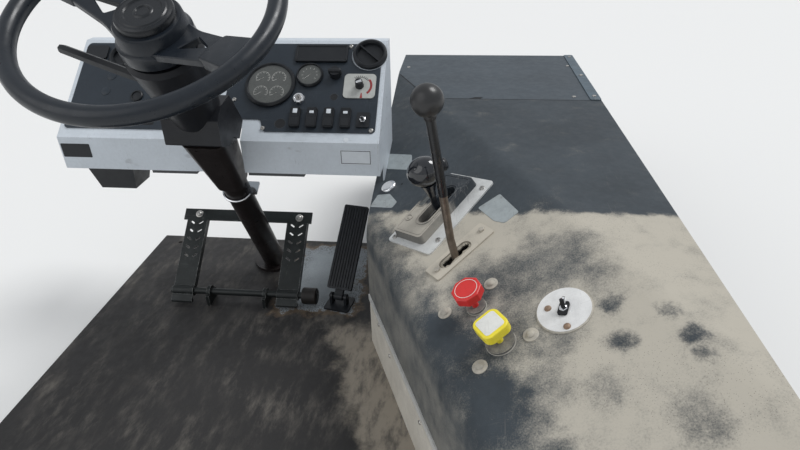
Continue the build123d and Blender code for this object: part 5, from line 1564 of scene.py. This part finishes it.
@dataclass
class Steering:
    """The mouldings of the wheel, the horn cap and the indicator stalk."""

    shop: Workshop
    rim_r: float = 202
    tube_r: float = 15
    hub_r: float = 56
    flare: float = 6
    hub_top: float = -8
    hub_band: float = -34
    hub_bottom: float = -60
    spoke_turn: float = -27
    spoke_root: float = -46
    spoke_rise: float = 13
    spoke_t: float = 11
    pad_t: float = 20
    stalk_start: Place = (-30, -46, -88)
    stalk_end: Place = (-189, 14, -85)
    stalk_r: float = 8.6

    def build(self) -> None:
        """Makes the wheel, cap and stalk in place of their plain solids."""
        self.wheel()
        self.cap()
        self.stalk()

    def wheel(self) -> None:
        """Rim, drum with its flared band, and the two spokes."""
        form = Form().hoop([(self.rim_r + x, y) for x, y in outline_round(self.tube_r, 28)], 144)
        wide = self.hub_r + self.flare
        form.lathe([(wide - 4, self.hub_bottom), (wide - 1, self.hub_bottom + 1.2),
                    (wide, self.hub_bottom + 4), (wide - 1, self.hub_band - 4),
                    (self.hub_r + 1, self.hub_band - 1), (self.hub_r, self.hub_band + 2),
                    (self.hub_r - 2, self.hub_top - 3), (self.hub_r - 4, self.hub_top),
                    (0, self.hub_top)], 96)
        for turn in (self.spoke_turn, self.spoke_turn + 180):
            at = (Matrix.Rotation(math.radians(turn), 4, "Z")
                  @ Matrix.Translation((0, 0, self.spoke_root))
                  @ Matrix.Rotation(math.radians(-self.spoke_rise), 4, "Y"))
            form.take(self.spoke(), at)
        made = self.shop.piece("wheel_moulding", form, WHEEL.matrix(), WHEEL_RIM, "steering",
                               sharp=40)
        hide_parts("steering_wheel")

    def spoke(self) -> Form:
        """Web with its three-cornered window, and the thicker pad under the rim."""
        middle = (97, 0)
        web = rounded([(28, 44), (78, 29.5), (150, 27), (150, -27), (78, -36.5), (28, -44)], 12)
        window = rounded([(74, -16), (128, 0), (90, 16)], 4)
        half = self.spoke_t / 2
        form = Form().frame(seen_from(middle, web, 96), seen_from(middle, window, 96), -half, half,
                            1.6)
        pad = rounded([(135, -27), (197, -34), (197, 34), (142, 27)], 5)
        return form.prism(pad, -self.pad_t / 2, self.pad_t / 2, 2.5)

    def cap(self) -> None:
        """Horn cap with concentric rings."""
        profile = [(46, self.hub_top - 1), (46, 0), (44.6, 3), (41, 4.6), (39.5, 4), (37, 4.2),
                   (35, 5.8), (30, 5.9), (28, 3.8), (16, 3.8), (14, 5.4), (11, 5.8), (9.5, 4.2),
                   (0, 4.0)]
        made = self.shop.piece("horn_cap_moulding", Form().lathe(profile, 80), WHEEL.matrix(),
                               CAP_PLASTIC, "steering")
        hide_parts("horn_cap")

    def stalk(self) -> None:
        """Hexagonal stalk."""
        start, r = Vector(self.stalk_start), self.stalk_r
        run = Vector(self.stalk_end) - start
        form = Form().tube([start + run * share for share in (0, 0.1, 0.55, 0.97, 1.0)],
                           [r - 1.6, r, r, r - 0.6, r - 2], 6, 30)
        made = self.shop.piece("stalk_moulding", form, WHEEL.matrix(), BLACK_PLASTIC, sharp=20)
        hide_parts("indicator_stalk")


@dataclass
class FootControls:
    """The bolts of the brake treadle."""

    shop: Workshop
    bolt_r: float = 6.5
    washer_r: float = 9.5
    washer_t: float = 1.2
    treadle_t: float = 7

    def build(self) -> None:
        """Makes the washers and bolts."""
        places = ((-191, 199), (72, 197))
        self.shop.fasten("treadle_washers", "washer", TREADLE, places, self.washer_r, SCREW,
                         self.treadle_t, "treadle")
        self.shop.fasten("treadle_bolts", "dome", TREADLE, places, self.bolt_r, SCREW,
                         self.treadle_t + self.washer_t, "treadle")


@dataclass
class Studio:
    """Floor, light and camera."""

    place: Place = (465, -1032, 861)
    pitch: float = 30.0
    yaw: float = 6.45
    roll: float = 1.2
    lens: float = 25.425
    floor_reach: float = 20.0
    floor_drop: float = 0.0005

    def build(self) -> None:
        """Sets up the world, the floor, the lamps and the camera."""
        scene = bpy.context.scene
        scene.view_settings.view_transform = "Standard"
        self.world(scene)
        self.floor()
        self.lamp("key_light", (-0.45, -0.25, -0.86), 1.75, 0.45)
        self.lamp("fill_light", (0.65, 0.55, -0.52), 0.55, 0.9)
        self.camera(scene)

    def world(self, scene: bpy.types.Scene) -> None:
        """Plain pale surroundings."""
        world = bpy.data.worlds.new("studio")
        world.use_nodes = True
        shade = world.node_tree.nodes["Background"]
        shade.inputs["Color"].default_value = (0.93, 0.96, 1.0, 1)
        shade.inputs["Strength"].default_value = 0.55
        scene.world = world

    def floor(self) -> None:
        """Wide plain floor just below the part."""
        data = bpy.data.meshes.new("studio_floor")
        corners = ((-1, -1), (1, -1), (1, 1), (-1, 1))
        data.from_pydata([(x * self.floor_reach, y * self.floor_reach, -self.floor_drop)
                          for x, y in corners], [], [(0, 1, 2, 3)])
        floor = bpy.data.objects.new("studio_floor", data)
        look = bpy.data.materials.new("studio_floor")
        look.use_nodes = True
        shader = look.node_tree.nodes["Principled BSDF"]
        shader.inputs["Base Color"].default_value = (0.78, 0.78, 0.77, 1)
        shader.inputs["Roughness"].default_value = 0.85
        data.materials.append(look)
        bpy.context.scene.collection.objects.link(floor)

    def lamp(self, name: str, towards: Place, strength: float, spread: float) -> None:
        """Soft distant lamp that shines in one direction."""
        data = bpy.data.lights.new(name, "SUN")
        data.energy = strength
        data.angle = spread
        lamp = bpy.data.objects.new(name, data)
        lamp.rotation_euler = Vector(towards).to_track_quat("-Z", "Y").to_euler()
        bpy.context.scene.collection.objects.link(lamp)

    def camera(self, scene: bpy.types.Scene) -> None:
        """Camera at the photograph's place and angle."""
        data = bpy.data.cameras.new("camera")
        data.lens = self.lens
        data.sensor_width = 36.0
        data.clip_start = 0.02
        camera = bpy.data.objects.new("camera", data)
        turned = (Matrix.Rotation(math.radians(self.yaw), 4, "Z")
                  @ Matrix.Rotation(math.radians(90 - self.pitch), 4, "X")
                  @ Matrix.Rotation(math.radians(-self.roll), 4, "Z"))
        camera.matrix_world = Matrix.Translation(Vector(self.place) * MM) @ turned
        scene.collection.objects.link(camera)
        scene.camera = camera


def main() -> None:
    """Loads the frame, dresses its nodes, builds each sub-assembly and sets the scene."""
    logging.basicConfig(level=logging.INFO, format="%(name)s: %(message)s")
    for old in list(bpy.data.objects):
        bpy.data.objects.remove(old)
    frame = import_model()
    shop = Workshop(frame["nodes"], FinishShop(), Repeater())
    for finish, names in DRESSING:
        shop.dress(finish, names)
    for assembly in (Console, Selector, BoomLever, AirValves, RoundSwitch, Dash, Steering,
                     FootControls):
        assembly(shop).build()
        LOG.info("built %s", assembly.__name__)
    shop.clear_templates()
    Studio().build()


if __name__ == "__main__":
    main()
